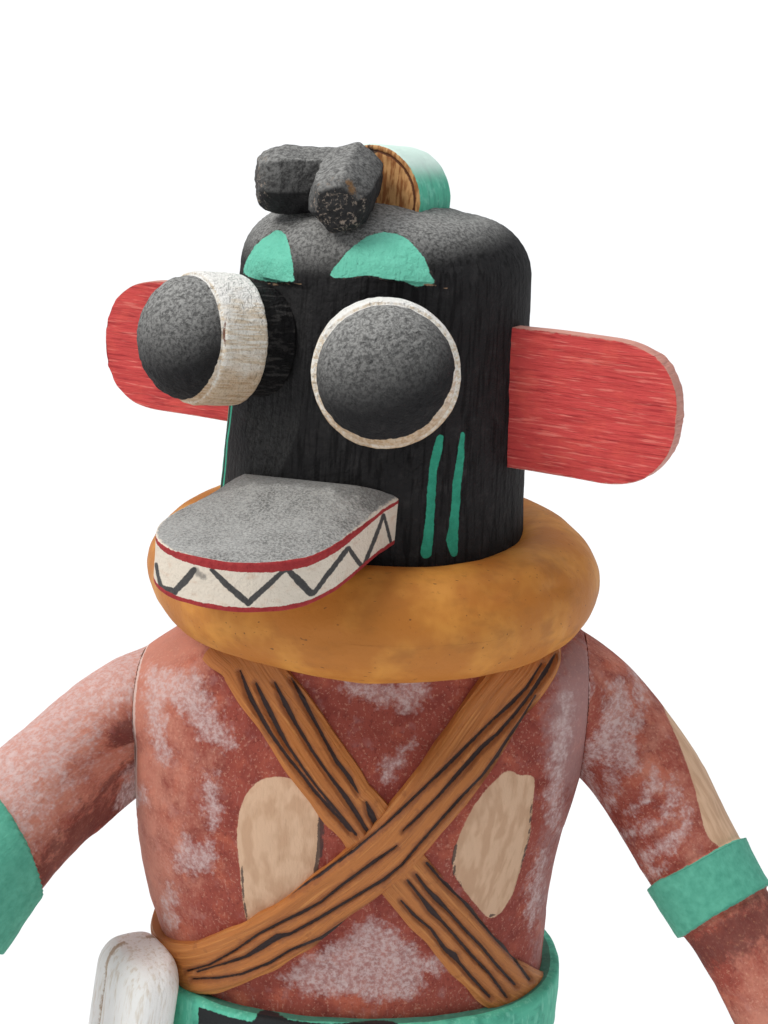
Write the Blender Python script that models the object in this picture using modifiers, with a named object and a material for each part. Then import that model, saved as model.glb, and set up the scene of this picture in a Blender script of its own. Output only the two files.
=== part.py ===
"""A carved and painted wooden kachina doll on a low oval base.

The figure faces -Y and stands on the XY plane. Its right side is at -X. The head is
turned a little to its right. Every length below is in metres, every angle in degrees.
"""

import math

import bmesh
import bpy
import numpy as np
from mathutils import Euler, Matrix, Vector

MM = 0.001
FIT_GAP = 0.3 * MM
CUT_REACH = 40.0 * MM

# Base
BASE_HEIGHT = 12.0 * MM
BASE_HALF_WIDTH = 50.0 * MM
BASE_HALF_DEPTH = 42.0 * MM
BASE_CHAMFER = 1.6 * MM

# Legs and moccasins
FOOT_LENGTH = 34.0 * MM
FOOT_HALF_WIDTH = 8.6 * MM
FOOT_HEIGHT = 13.0 * MM
FOOT_TURN_OUT = 8.0
HEEL_Y = 11.0 * MM
LEG_SPACING = 23.0 * MM
ANKLE_RADIUS = 7.4 * MM
CALF_RADIUS = 9.4 * MM
CALF_HEIGHT = 40.0 * MM
LEG_SUNK = 6.0 * MM

# Kilt and belt
KILT_HEM_HEIGHT = 55.0 * MM
KILT_HEM_HALF_WIDTH = 41.5 * MM
KILT_HEM_HALF_DEPTH = 31.0 * MM
KILT_TOP_HALF_WIDTH = 35.4 * MM
KILT_TOP_HALF_DEPTH = 25.0 * MM
KILT_FLARE_POWER = 1.6
BELT_TOP_HEIGHT = 102.4 * MM
BELT_WIDTH = 11.0 * MM
BELT_HALF_WIDTH = 36.9 * MM
BELT_HALF_DEPTH = 27.0 * MM
BELT_EDGE = 0.8 * MM

# Torso
WAIST_HALF_WIDTH = 33.6 * MM
WAIST_HALF_DEPTH = 23.6 * MM
TORSO_HEIGHT = 66.6 * MM
CHEST_SHARE = 0.4745
CHEST_HEIGHT = BELT_TOP_HEIGHT + CHEST_SHARE * TORSO_HEIGHT
CHEST_HALF_WIDTH = 38.8 * MM
CHEST_HALF_DEPTH = 25.4 * MM
SHOULDER_SHARE = 0.82
SHOULDER_HEIGHT = BELT_TOP_HEIGHT + SHOULDER_SHARE * TORSO_HEIGHT
SHOULDER_HALF_WIDTH = 42.4 * MM
SHOULDER_HALF_DEPTH = 20.5 * MM
SHOULDER_TOP_HEIGHT = BELT_TOP_HEIGHT + TORSO_HEIGHT
SHOULDER_TOP_HALF_WIDTH = 26.5 * MM
SHOULDER_FACE_X = 38.2 * MM
SHOULDER_FACE_DROP = 26.0 * MM
SHOULDER_TILT = 4.2
TORSO_SWAY = -1.8 * MM
SWAY_END_SHARE = 0.65
TILT_START_SHARE = 0.5
TILT_END_SHARE = 0.85
TORSO_SQUARENESS = 2.3
NECK_RADIUS = 19.8 * MM
NECK_ROOM_ABOVE = 1.7 * MM
NECK_SUNK = 10.0 * MM

# Ruff
RUFF_OUTER_RADIUS = 38.3 * MM
RUFF_TUBE_RADIUS = 9.1 * MM
RUFF_ABOVE_SHOULDERS = 6.2 * MM
RUFF_HEIGHT = SHOULDER_TOP_HEIGHT + RUFF_ABOVE_SHOULDERS
RUFF_X = 1.5 * MM
RUFF_LEAN = 1.5

# Head
HEAD_X = 0.6 * MM
HEAD_Y = 1.0 * MM
HEAD_ABOVE_RUFF = 6.0 * MM
HEAD_BOTTOM_HEIGHT = RUFF_HEIGHT + HEAD_ABOVE_RUFF
HEAD_HEIGHT = 56.4 * MM
HEAD_BOTTOM_RADIUS = 26.0 * MM
HEAD_TOP_RADIUS = 24.0 * MM
HEAD_TOP_ROUNDING = 9.8 * MM
HEAD_CROWN_RISE = 2.0 * MM
HEAD_TURN = -25.0
HEAD_LEAN = 1.9
HEAD_NOD = -2.3

# Eyes
EYE_SPREAD = 28.0
EYE_HEIGHT = 33.6 * MM
EYE_HEIGHT_DIFFERENCE = 1.4 * MM
EYE_TILT = 3.4
EYE_BAND_RADIUS = 11.1 * MM
EYE_RIGHT_SCALE = 0.94
EYE_BAND_REAR = 28.4 * MM
EYE_BAND_LENGTH = 8.0 * MM
EYE_BALL_RADIUS = 10.3 * MM
EYE_BALL_HEIGHT = 7.8 * MM
EYE_NECK_RADIUS = 9.0 * MM
EYE_SEAT_DEPTH = 2.2 * MM

# Ears
EAR_REACH = 52.6 * MM
EAR_RIGHT_EXTRA = 1.4 * MM
EAR_HALF_HEIGHT = 11.4 * MM
EAR_HEIGHT = 27.0 * MM
EAR_SET_BACK = -0.4 * MM
EAR_THICKNESS = 3.6 * MM
EAR_TIP_LENGTH = 12.0 * MM
EAR_SQUARENESS = 2.4
EAR_SEAT_DEPTH = 2.5 * MM

# Snout
SNOUT_HALF_WIDTH = 14.9 * MM
SNOUT_REACH = 54.0 * MM
SNOUT_ROUND_LENGTH = 16.5 * MM
SNOUT_TOP_HEIGHT = 9.6 * MM
SNOUT_THICKNESS = 7.4 * MM
SNOUT_DROOP = 5.4
SNOUT_CROWN = 1.1 * MM
SNOUT_CROWN_CENTRE = 38.0 * MM
SNOUT_ROOT_RISE = 5.0 * MM
SNOUT_ROOT_LENGTH = 20.0 * MM
SNOUT_LEFT_LIFT = 2.0 * MM
SNOUT_ROOT_SHARE = 0.86
SNOUT_SEAT_DEPTH = 2.0 * MM

# Crest
ROLL_RADIUS = 9.0 * MM
ROLL_REAR_RADIUS = 8.5 * MM
ROLL_LENGTH = 13.5 * MM
ROLL_FRONT_Y = -6.0 * MM
ROLL_AXIS_HEIGHT = 56.4 * MM
ROLL_X = -0.6 * MM
ROLL_FRONT_EDGE = 0.6 * MM
ROLL_REAR_EDGE = 1.2 * MM
KNOB_RADIUS = 5.2 * MM
KNOB_RIGHT_ROD = [(-10.0, -16.0, 59.1), (-5.0, -12.4, 59.5)]
KNOB_LEFT_ROD = [(1.9, -20.4, 57.8), (-0.6, -13.2, 60.0)]

# Straps
STRAP_WIDTH = 9.6 * MM
STRAP_UNDER_THICKNESS = 1.3 * MM
STRAP_OVER_THICKNESS = 2.1 * MM
STRAP_SUNK = 1.2 * MM
STRAP_UNDER_HIP_DROP = 6.05 * MM
STRAP_OVER_HIP_RISE = 1.2 * MM

# A strap's way down the chest: shares of the chest's half width and of the torso's height
STRAP_UNDER_FRONT = [
    (-0.464, 0.947), (-0.322, 0.835), (-0.116, 0.677), (0.137, 0.482), (0.412, 0.264),
    (0.686, 0.045)]
STRAP_OVER_FRONT = [
    (0.709, 0.947), (0.606, 0.835), (0.399, 0.677), (0.137, 0.482), (-0.284, 0.242),
    (-0.686, 0.069)]

# Arms: the points of a centre line, from inside the shoulder to the end of the fist, are
# measured outwards from the shoulder's flat face, backwards, and upwards from the shoulder
RIGHT_ARM_HALF_WIDTH = 10.9 * MM
LEFT_ARM_HALF_WIDTH = 10.0 * MM
RIGHT_ARM_TAPER = 0.98
LEFT_ARM_TAPER = 0.82
ARM_HALF_DEPTH = 10.2 * MM
WRIST_HALF_WIDTH = 6.8 * MM
WRIST_HALF_DEPTH = 6.0 * MM
FIST_HALF_WIDTH = 8.4 * MM
FIST_HALF_DEPTH = 8.0 * MM
RIGHT_ARMBAND = (50.5 * MM, 63.5 * MM)
LEFT_ARMBAND = (44.0 * MM, 53.5 * MM)
ARMBAND_RISE = 1.0 * MM
ARMBAND_EDGE = 0.5 * MM
THUMB_RADIUS = 3.4 * MM
THUMB_STRETCH = 1.9
RIGHT_ARM_POINTS = [
    (-10.6, 6.0, -5.2), (0.6, 0.0, -10.7), (11.6, -11.0, -17.4), (23.0, -22.8, -27.1),
    (30.7, -31.5, -39.7), (35.9, -38.0, -54.2), (40.6, -44.0, -69.1)]
LEFT_ARM_POINTS = [
    (-8.0, 0.0, 0.8), (2.6, 0.1, -7.3), (12.3, -5.7, -17.6), (21.4, -14.4, -30.3),
    (30.5, -23.1, -43.2), (37.1, -30.3, -56.4), (41.8, -36.6, -69.9)]

# Rain sash at the right hip
SASH_TURN = -63.0
SASH_ABOVE_BELT = 7.2 * MM
SASH_LENGTH = 56.0 * MM
SASH_HALF_THICKNESS = 5.4 * MM
SASH_HALF_WIDTH = 9.5 * MM
SASH_ROUNDING = 6.0 * MM
SASH_FLARE = 9.0 * MM
SASH_SQUARENESS = 3.0
SASH_ROWS = 10

# How many faces go round a solid, and how many rows of them run along it
AROUND = 30
HEAD_AROUND = 34
EYE_AROUND = 22
LIMB_AROUND = 16
BASE_AROUND = 36
TORSO_ROWS = 12
STRAP_ROWS = 33
PI = math.pi

COLOURS = {
    "wood": (0.42, 0.27, 0.15),
    "red_brown": (0.30, 0.075, 0.055),
    "turquoise": (0.13, 0.50, 0.38),
    "ochre": (0.52, 0.25, 0.06),
    "black": (0.035, 0.035, 0.038),
    "red": (0.55, 0.05, 0.055),
    "cream": (0.72, 0.66, 0.54),
    "white": (0.80, 0.78, 0.72),
}


def clear_scene():
    for item in list(bpy.data.objects):
        bpy.data.objects.remove(item, do_unlink=True)


def make_collection(name):
    collection = bpy.data.collections.new(name)
    bpy.context.scene.collection.children.link(collection)
    return collection


def paint(name, roughness=0.75):
    """The painted wood of one colour."""
    material = bpy.data.materials.new(name)
    material.use_nodes = True
    shader = material.node_tree.nodes["Principled BSDF"]
    shader.inputs["Base Color"].default_value = (*COLOURS[name], 1.0)
    shader.inputs["Roughness"].default_value = roughness
    shader.inputs["Metallic"].default_value = 0.0
    return material


def place(item, collection, colour=None, parent=None):
    """Moves an object to its collection, and gives it its paint and its parent."""
    for other in list(item.users_collection):
        other.objects.unlink(item)
    collection.objects.link(item)
    if colour:
        item.data.materials.clear()
        item.data.materials.append(paint(colour))
    if parent:
        item.parent = parent
    return item


def from_bmesh(name, bm, sharp_angle=40.0):
    """Turns a bmesh into an object with smooth faces and sharp edges."""
    bmesh.ops.recalc_face_normals(bm, faces=bm.faces)
    mesh = bpy.data.meshes.new(name)
    bm.to_mesh(mesh)
    bm.free()
    item = bpy.data.objects.new(name, mesh)
    bpy.context.scene.collection.objects.link(item)
    mesh.shade_smooth()
    mesh.set_sharp_from_angle(angle=math.radians(sharp_angle))
    return item


def loft(name, rings):
    """A solid through rings of equally many points, closed by its first and last ring."""
    bm = bmesh.new()
    rows = [[bm.verts.new(point) for point in ring] for ring in rings]
    count = len(rows[0])
    for lower, upper in zip(rows, rows[1:]):
        for i in range(count):
            j = (i + 1) % count
            bm.faces.new((lower[i], lower[j], upper[j], upper[i]))
    bm.faces.new(rows[0])
    bm.faces.new(rows[-1])
    return from_bmesh(name, bm)


def turned(name, profile, steps=AROUND):
    """A turned solid: its profile runs from the top of the axis down to the bottom."""
    mesh = bpy.data.meshes.new(name)
    edges = [(i, i + 1) for i in range(len(profile) - 1)]
    mesh.from_pydata([(radius, 0.0, height) for radius, height in profile], edges, [])
    item = bpy.data.objects.new(name, mesh)
    bpy.context.scene.collection.objects.link(item)
    screw = item.modifiers.new("turned", "SCREW")
    screw.steps = steps
    screw.render_steps = steps
    screw.use_merge_vertices = True
    screw.merge_threshold = 0.00005
    screw.use_smooth_shade = True
    return item


def join(target, tool, operation, cutters):
    """Adds, cuts or keeps the part that a second solid shares with the first."""
    tool.hide_render = True
    tool.display_type = "WIRE"
    if tool.name not in cutters.objects:
        parent = tool.parent
        place(tool, cutters, parent=parent)
    modifier = target.modifiers.new(tool.name, "BOOLEAN")
    modifier.operation = operation
    modifier.solver = "EXACT"
    modifier.object = tool


def smooth(stations, where):
    """Rows of numbers read at places between 0 and 1 on a curve through the stations."""
    rows = np.array(stations, dtype=float)
    rows = np.vstack([2 * rows[0] - rows[1], rows, 2 * rows[-1] - rows[-2]])
    spans = len(stations) - 1
    result = []
    for at in where:
        span = min(int(at * spans), spans - 1)
        t = at * spans - span
        a, b, c, d = rows[span:span + 4]
        curve = 2 * b + (c - a) * t + (2 * a - 5 * b + 4 * c - d) * t**2
        curve = curve + (3 * b - a - 3 * c + d) * t**3
        result.append(0.5 * curve)
    return np.array(result)


def power(value, exponent):
    return math.copysign(abs(value) ** exponent, value)


def oval(turn, half_width, half_depth, squareness=2.0):
    """A point of a squarish oval: turn is 0 at the front (-Y) and 90 at the left (+X)."""
    angle = math.radians(turn)
    share = 2.0 / squareness
    return half_width * power(math.sin(angle), share), -half_depth * power(math.cos(angle), share)


def turns(count):
    return [360.0 * i / count for i in range(count)]


def torso_stations():
    """Height, half width and half depth from the waist to the top of the shoulders."""
    return [
        (BELT_TOP_HEIGHT, WAIST_HALF_WIDTH, WAIST_HALF_DEPTH),
        (0.62 * BELT_TOP_HEIGHT + 0.38 * CHEST_HEIGHT, WAIST_HALF_WIDTH * 1.06, WAIST_HALF_DEPTH),
        (CHEST_HEIGHT, CHEST_HALF_WIDTH, CHEST_HALF_DEPTH),
        (0.5 * (CHEST_HEIGHT + SHOULDER_HEIGHT), CHEST_HALF_WIDTH * 1.04, CHEST_HALF_DEPTH * 0.97),
        (SHOULDER_HEIGHT, SHOULDER_HALF_WIDTH, SHOULDER_HALF_DEPTH),
        (SHOULDER_TOP_HEIGHT, SHOULDER_TOP_HALF_WIDTH, NECK_RADIUS),
    ]


def torso_size(height):
    """Half width and half depth of the torso at a height."""
    where = np.linspace(0.0, 1.0, 61)
    rows = smooth(torso_stations(), where)
    return (float(np.interp(height, rows[:, 0], rows[:, 1])),
            float(np.interp(height, rows[:, 0], rows[:, 2])))


def sway(height):
    """How far the torso leans sideways at a height above the belt."""
    share = (height - BELT_TOP_HEIGHT) / TORSO_HEIGHT
    return TORSO_SWAY * math.sin(PI * min(max(share / SWAY_END_SHARE, 0.0), 1.0))


def leaned(x, y, height):
    """A point of the trunk, swayed sideways and lifted with the left shoulder."""
    share = (height - BELT_TOP_HEIGHT) / TORSO_HEIGHT
    lift = (share - TILT_START_SHARE) / (TILT_END_SHARE - TILT_START_SHARE)
    lift = min(max(lift, 0.0), 1.0) * math.tan(math.radians(SHOULDER_TILT))
    return Vector((x + sway(height), y, height + lift * x))


def torso_point(turn, height, proud=0.0):
    """A point on the torso's surface, or a little proud of it."""
    half_width, half_depth = torso_size(height)
    x, y = oval(turn, half_width, half_depth, TORSO_SQUARENESS)
    ahead = Vector(oval(turn + 1.0, half_width, half_depth, TORSO_SQUARENESS))
    behind = Vector(oval(turn - 1.0, half_width, half_depth, TORSO_SQUARENESS))
    along = (ahead - behind).normalized()
    return leaned(x + along.y * proud, y - along.x * proud, height)


def trunk_rings(grown=0.0, grown_above_belt=None):
    """Rings of the kilt, belt and torso, from the hem up to the shoulders."""
    if grown_above_belt is None:
        grown_above_belt = grown
    belt_bottom = BELT_TOP_HEIGHT - BELT_WIDTH
    sizes = []
    for share in (0.0, 0.25, 0.5, 0.75, 1.0):
        flare = (1.0 - share) ** KILT_FLARE_POWER
        height = KILT_HEM_HEIGHT + share * (belt_bottom - KILT_HEM_HEIGHT)
        half_width = KILT_TOP_HALF_WIDTH + flare * (KILT_HEM_HALF_WIDTH - KILT_TOP_HALF_WIDTH)
        half_depth = KILT_TOP_HALF_DEPTH + flare * (KILT_HEM_HALF_DEPTH - KILT_TOP_HALF_DEPTH)
        sizes.append((height, half_width + grown, half_depth + grown))
    belt_rows = [
        (belt_bottom, -BELT_EDGE), (belt_bottom + BELT_EDGE, 0.0),
        (BELT_TOP_HEIGHT - BELT_EDGE, 0.0), (BELT_TOP_HEIGHT, -BELT_EDGE)]
    for height, rise in belt_rows:
        sizes.append((height, BELT_HALF_WIDTH + rise + grown, BELT_HALF_DEPTH + rise + grown))
    torso_rows = smooth(torso_stations(), np.linspace(0.0, 1.0, TORSO_ROWS))
    for height, half_width, half_depth in torso_rows:
        sizes.append((height, half_width + grown_above_belt, half_depth + grown_above_belt))
    rings = []
    for height, half_width, half_depth in sizes:
        ring = [oval(turn, half_width, half_depth, TORSO_SQUARENESS) for turn in turns(AROUND)]
        rings.append([leaned(x, y, height) for x, y in ring])
    return rings


def front_turn(x, height):
    """The turn at which the torso's front reaches a given x."""
    half_width, _ = torso_size(height)
    return math.degrees(math.asin(power(x / half_width, TORSO_SQUARENESS / 2.0)))


def make_strap(name, front, hip, thickness):
    """A strap from under the ruff, across the chest, round the hip and up the back."""
    turn_of = []
    for x_share, height_share in front:
        height = BELT_TOP_HEIGHT + height_share * TORSO_HEIGHT
        x = x_share * CHEST_HALF_WIDTH - sway(height)
        turn_of.append((front_turn(x, height), height))
    half_round = math.copysign(180.0, hip[0])
    back = [(half_round - turn, height) for turn, height in reversed(turn_of)]
    route = smooth(turn_of + [hip] + back, np.linspace(0.0, 1.0, STRAP_ROWS))
    middle = [torso_point(turn, height) for turn, height in route]
    rings = []
    rise = [(-1.0, -1.0), (-1.0, 0.5), (-0.7, 1.0), (0.7, 1.0), (1.0, 0.5), (1.0, -1.0)]
    for i, (turn, height) in enumerate(route):
        before = middle[max(i - 1, 0)]
        after = middle[min(i + 1, len(middle) - 1)]
        along = (after - before).normalized()
        outward = (torso_point(turn, height, 1.0 * MM) - middle[i]).normalized()
        across = along.cross(outward).normalized()
        ring = []
        for side, lift in rise:
            step = across * side * STRAP_WIDTH / 2
            depth = lift * thickness if lift > 0 else -STRAP_SUNK
            flat = middle[i] + step
            hug = torso_point(turn + turn_step(step, turn, height), height + step.z)
            ring.append(Vector((hug.x, hug.y, flat.z)) + outward * depth)
        rings.append(ring)
    return loft(name, rings)


def turn_step(step, turn, height):
    """How many degrees of turn a small sideways step along the torso makes."""
    ahead = torso_point(turn + 0.5, height) - torso_point(turn - 0.5, height)
    flat = Vector((step.x, step.y))
    return flat.dot(Vector((ahead.x, ahead.y))) / max(ahead.x**2 + ahead.y**2, 1e-12)


def make_leg(name, side):
    """A leg from inside the kilt down into the moccasin."""
    x = side * LEG_SPACING / 2
    sole = BASE_HEIGHT + FIT_GAP
    stations = [
        (sole + 0.35 * FOOT_HEIGHT, ANKLE_RADIUS, 0.5 * MM),
        (sole + FOOT_HEIGHT, ANKLE_RADIUS, 0.3 * MM),
        (CALF_HEIGHT, CALF_RADIUS, 1.2 * MM),
        (KILT_HEM_HEIGHT + LEG_SUNK, CALF_RADIUS * 0.95, -0.4 * MM),
    ]
    rings = []
    for height, radius, back in smooth(stations, np.linspace(0.0, 1.0, 7)):
        ring = [oval(turn, radius, radius * 1.06) for turn in turns(LIMB_AROUND)]
        rings.append([Vector((x + px, py + back, height)) for px, py in ring])
    return loft(name, rings)


def make_foot(name, side):
    """A moccasin: a flat sole, a round heel and a round toe, turned out a little."""
    sole = BASE_HEIGHT + FIT_GAP
    stations = [(0.0, 0.30, 0.45), (0.04, 0.62, 0.75), (0.15, 0.86, 1.0), (0.35, 0.90, 1.0),
                (0.6, 1.0, 0.74), (0.82, 0.94, 0.56), (0.96, 0.62, 0.40), (1.0, 0.30, 0.22)]
    spin = Matrix.Rotation(math.radians(side * FOOT_TURN_OUT), 4, "Z")
    ankle = Vector((side * LEG_SPACING / 2, HEEL_Y, sole))
    rings = []
    for length, width, height in stations:
        ring = []
        for i in range(11):
            angle = PI * i / 10
            flat = power(math.cos(angle), 0.75) * width * FOOT_HALF_WIDTH
            rise = power(math.sin(angle), 0.85) * height * FOOT_HEIGHT
            ring.append(ankle + spin @ Vector((flat, -length * FOOT_LENGTH, rise)))
        rings.append(ring)
    return loft(name, rings)


def limb_frames(centres):
    """Directions across and along a limb at each of its centres."""
    frames = []
    for i in range(len(centres)):
        before = centres[max(i - 1, 0)]
        after = centres[min(i + 1, len(centres) - 1)]
        along = (after - before).normalized()
        depth = Vector((0.0, 1.0, 0.0))
        depth = (depth - along * depth.dot(along)).normalized()
        frames.append((along, along.cross(depth).normalized(), depth))
    return frames


def arm_route(points, side):
    """Closely spaced points on an arm's centre line, and how far along each one lies."""
    rows = [(side * (SHOULDER_FACE_X + out * MM), back * MM, SHOULDER_HEIGHT + rise * MM)
            for out, back, rise in points]
    route = smooth(rows, np.linspace(0.0, 1.0, 61))
    lengths = np.linalg.norm(np.diff(route, axis=0), axis=1)
    return route, np.concatenate([[0.0], np.cumsum(lengths)])


def arm_size(share, half_width, taper):
    """Half width and half depth of an arm at a share of its length, without its band."""
    stations = [
        (0.0, half_width, ARM_HALF_DEPTH),
        (0.2, half_width, ARM_HALF_DEPTH),
        (0.55, half_width * taper, ARM_HALF_DEPTH * taper),
        (0.68, half_width * taper * 0.93, ARM_HALF_DEPTH * taper * 0.9),
        (0.80, WRIST_HALF_WIDTH, WRIST_HALF_DEPTH),
        (0.865, FIST_HALF_WIDTH, FIST_HALF_DEPTH),
        (0.93, FIST_HALF_WIDTH, FIST_HALF_DEPTH),
        (0.965, FIST_HALF_WIDTH * 0.84, FIST_HALF_DEPTH * 0.84),
        (0.99, FIST_HALF_WIDTH * 0.5, FIST_HALF_DEPTH * 0.5),
        (1.0, FIST_HALF_WIDTH * 0.2, FIST_HALF_DEPTH * 0.2),
    ]
    shares, widths, depths = zip(*stations)
    return float(np.interp(share, shares, widths)), float(np.interp(share, shares, depths))


def make_arm(name, points, half_width, taper, band, side, parts, cutters):
    """An arm with its band, cut flat where it meets the shoulder. Side is -1 for the right."""
    route, steps = arm_route(points, side)
    tip = float(steps[-1])
    upper_edge, lower_edge = band
    places = [share * upper_edge for share in (0.0, 0.2, 0.4, 0.6, 0.8, 1.0)]
    places += [upper_edge + ARMBAND_EDGE, lower_edge - ARMBAND_EDGE, lower_edge]
    places += [share * tip for share in (0.72, 0.80, 0.83, 0.865, 0.93, 0.965, 0.99, 1.0)]
    centres = [Vector([float(np.interp(at, steps, route[:, axis])) for axis in range(3)])
               for at in places]
    rings = []
    frames = limb_frames(centres)
    for at, centre, (along, across, depth) in zip(places, centres, frames):
        half, deep = arm_size(at / tip, half_width, taper)
        rise = ARMBAND_RISE if upper_edge < at < lower_edge else 0.0
        ring = [oval(turn, half + rise, deep + rise) for turn in turns(LIMB_AROUND)]
        rings.append([centre + across * x + depth * y for x, y in ring])
    arm = place(loft(name, rings), parts, "red_brown")
    face_x = side * (SHOULDER_FACE_X + FIT_GAP)
    block_centre = Vector((face_x - side * CUT_REACH, 0.0, SHOULDER_HEIGHT))
    block = make_box(name + "_shoulder_cut", block_centre, Vector((CUT_REACH,) * 3))
    join(arm, block, "DIFFERENCE", cutters)
    middle_of_fist = -4
    along, across, depth = frames[middle_of_fist]
    thumb_at = centres[middle_of_fist] - depth * FIST_HALF_DEPTH * 0.8
    thumb_at -= across * side * FIST_HALF_WIDTH * 0.5
    thumb = make_egg(name + "_thumb", thumb_at, THUMB_RADIUS, THUMB_STRETCH, along)
    join(arm, thumb, "UNION", cutters)
    return arm


def make_box(name, centre, half):
    bm = bmesh.new()
    bmesh.ops.create_cube(bm, size=2.0)
    bmesh.ops.scale(bm, vec=half, verts=bm.verts)
    bmesh.ops.translate(bm, vec=centre, verts=bm.verts)
    return from_bmesh(name, bm)


def make_egg(name, centre, radius, stretch, along):
    """A ball stretched along one direction."""
    bm = bmesh.new()
    bmesh.ops.create_uvsphere(bm, u_segments=12, v_segments=6, radius=radius)
    bmesh.ops.scale(bm, vec=(1.0, 1.0, stretch), verts=bm.verts)
    spin = Vector((0.0, 0.0, 1.0)).rotation_difference(along).to_matrix()
    bmesh.ops.rotate(bm, cent=(0.0, 0.0, 0.0), matrix=spin, verts=bm.verts)
    bmesh.ops.translate(bm, vec=centre, verts=bm.verts)
    return from_bmesh(name, bm)


def make_body(parts, cutters):
    """Torso, neck, belt, kilt, legs and moccasins in one piece, with the straps on it."""
    body = place(loft("body", trunk_rings()), parts, "red_brown")
    neck_top = HEAD_BOTTOM_HEIGHT - NECK_ROOM_ABOVE
    neck_bottom = SHOULDER_TOP_HEIGHT - NECK_SUNK
    neck = turned("body_neck", [(0.0, neck_top), (NECK_RADIUS, neck_top),
                                (NECK_RADIUS, neck_bottom), (0.0, neck_bottom)])
    neck.location.x = RUFF_X
    join(body, neck, "UNION", cutters)
    for side, word in ((-1, "right"), (1, "left")):
        join(body, make_leg("body_leg_" + word, side), "UNION", cutters)
        join(body, make_foot("body_foot_" + word, side), "UNION", cutters)
    under = make_strap("body_strap_under", STRAP_UNDER_FRONT,
                       (90.0, BELT_TOP_HEIGHT - STRAP_UNDER_HIP_DROP), STRAP_UNDER_THICKNESS)
    over = make_strap("body_strap_over", STRAP_OVER_FRONT,
                      (-90.0, BELT_TOP_HEIGHT + STRAP_OVER_HIP_RISE), STRAP_OVER_THICKNESS)
    join(body, under, "UNION", cutters)
    join(body, over, "UNION", cutters)
    join(body, ruff_ring("body_ruff_seat", FIT_GAP), "DIFFERENCE", cutters)
    for side, word in ((-1, "right"), (1, "left")):
        foot = SHOULDER_HEIGHT - SHOULDER_FACE_DROP
        centre = Vector((side * (SHOULDER_FACE_X + CUT_REACH), 0.0, foot + CUT_REACH))
        block = make_box("body_shoulder_cut_" + word, centre, Vector((CUT_REACH,) * 3))
        join(body, block, "DIFFERENCE", cutters)


def ruff_ring(name, grown=0.0):
    bpy.ops.mesh.primitive_torus_add(
        major_radius=RUFF_OUTER_RADIUS - RUFF_TUBE_RADIUS, minor_radius=RUFF_TUBE_RADIUS + grown,
        major_segments=AROUND, minor_segments=10, location=(RUFF_X, 0.0, RUFF_HEIGHT),
        rotation=(0.0, math.radians(RUFF_LEAN), 0.0))
    ring = bpy.context.object
    ring.name = name
    ring.data.shade_smooth()
    return ring


def make_ruff(head_frame, parts, cutters):
    ruff = place(ruff_ring("ruff"), parts, "ochre")
    head_room = turned("ruff_head_seat", [
        (0.0, CUT_REACH), (HEAD_BOTTOM_RADIUS + FIT_GAP, CUT_REACH),
        (HEAD_BOTTOM_RADIUS + FIT_GAP, -FIT_GAP), (0.0, -FIT_GAP)])
    head_room.parent = head_frame
    join(ruff, head_room, "DIFFERENCE", cutters)
    neck_room = turned("ruff_neck_hole", [
        (0.0, CUT_REACH), (NECK_RADIUS + FIT_GAP, CUT_REACH),
        (NECK_RADIUS + FIT_GAP, -CUT_REACH), (0.0, -CUT_REACH)])
    neck_room.location = (RUFF_X, 0.0, RUFF_HEIGHT)
    join(ruff, neck_room, "DIFFERENCE", cutters)
    return ruff


def make_head_frame(parts):
    """An empty at the foot of the head's axis, turned, leaning and nodding as the head does."""
    frame = bpy.data.objects.new("head_frame", None)
    parts.objects.link(frame)
    frame.location = (HEAD_X, HEAD_Y, HEAD_BOTTOM_HEIGHT)
    frame.rotation_mode = "ZXY"
    frame.rotation_euler = Euler(
        (math.radians(HEAD_NOD), math.radians(HEAD_LEAN), math.radians(HEAD_TURN)), "ZXY")
    return frame


def head_wall(height):
    """The head's radius at a height above its foot, below the rounding of its top."""
    share = height / (HEAD_HEIGHT - HEAD_TOP_ROUNDING)
    return HEAD_BOTTOM_RADIUS + share * (HEAD_TOP_RADIUS - HEAD_BOTTOM_RADIUS)


def make_head(head_frame, parts):
    shoulder = HEAD_HEIGHT - HEAD_TOP_ROUNDING - HEAD_CROWN_RISE
    flat = HEAD_TOP_RADIUS - HEAD_TOP_ROUNDING
    profile = [(0.0, HEAD_HEIGHT), (0.6 * flat, HEAD_HEIGHT - 0.35 * HEAD_CROWN_RISE)]
    for i in range(6):
        angle = PI / 2 * (1 - i / 5)
        profile.append((flat + HEAD_TOP_ROUNDING * math.cos(angle),
                        shoulder + HEAD_TOP_ROUNDING * math.sin(angle)))
    profile.append((head_wall(0.0), 0.0))
    profile.append((0.0, 0.0))
    return place(turned("head", profile, HEAD_AROUND), parts, "black", head_frame)


def eye_direction(side):
    """Where an eye points, in the head's frame."""
    spread = math.radians(side * EYE_SPREAD)
    tilt = math.radians(EYE_TILT)
    return Vector((math.sin(spread) * math.cos(tilt), -math.cos(spread) * math.cos(tilt),
                   math.sin(tilt)))


def aim(item, direction, start):
    """Lays an object's own Z axis along a direction, from a starting point."""
    item.rotation_mode = "QUATERNION"
    item.rotation_quaternion = Vector((0.0, 0.0, 1.0)).rotation_difference(direction)
    item.location = start


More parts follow.
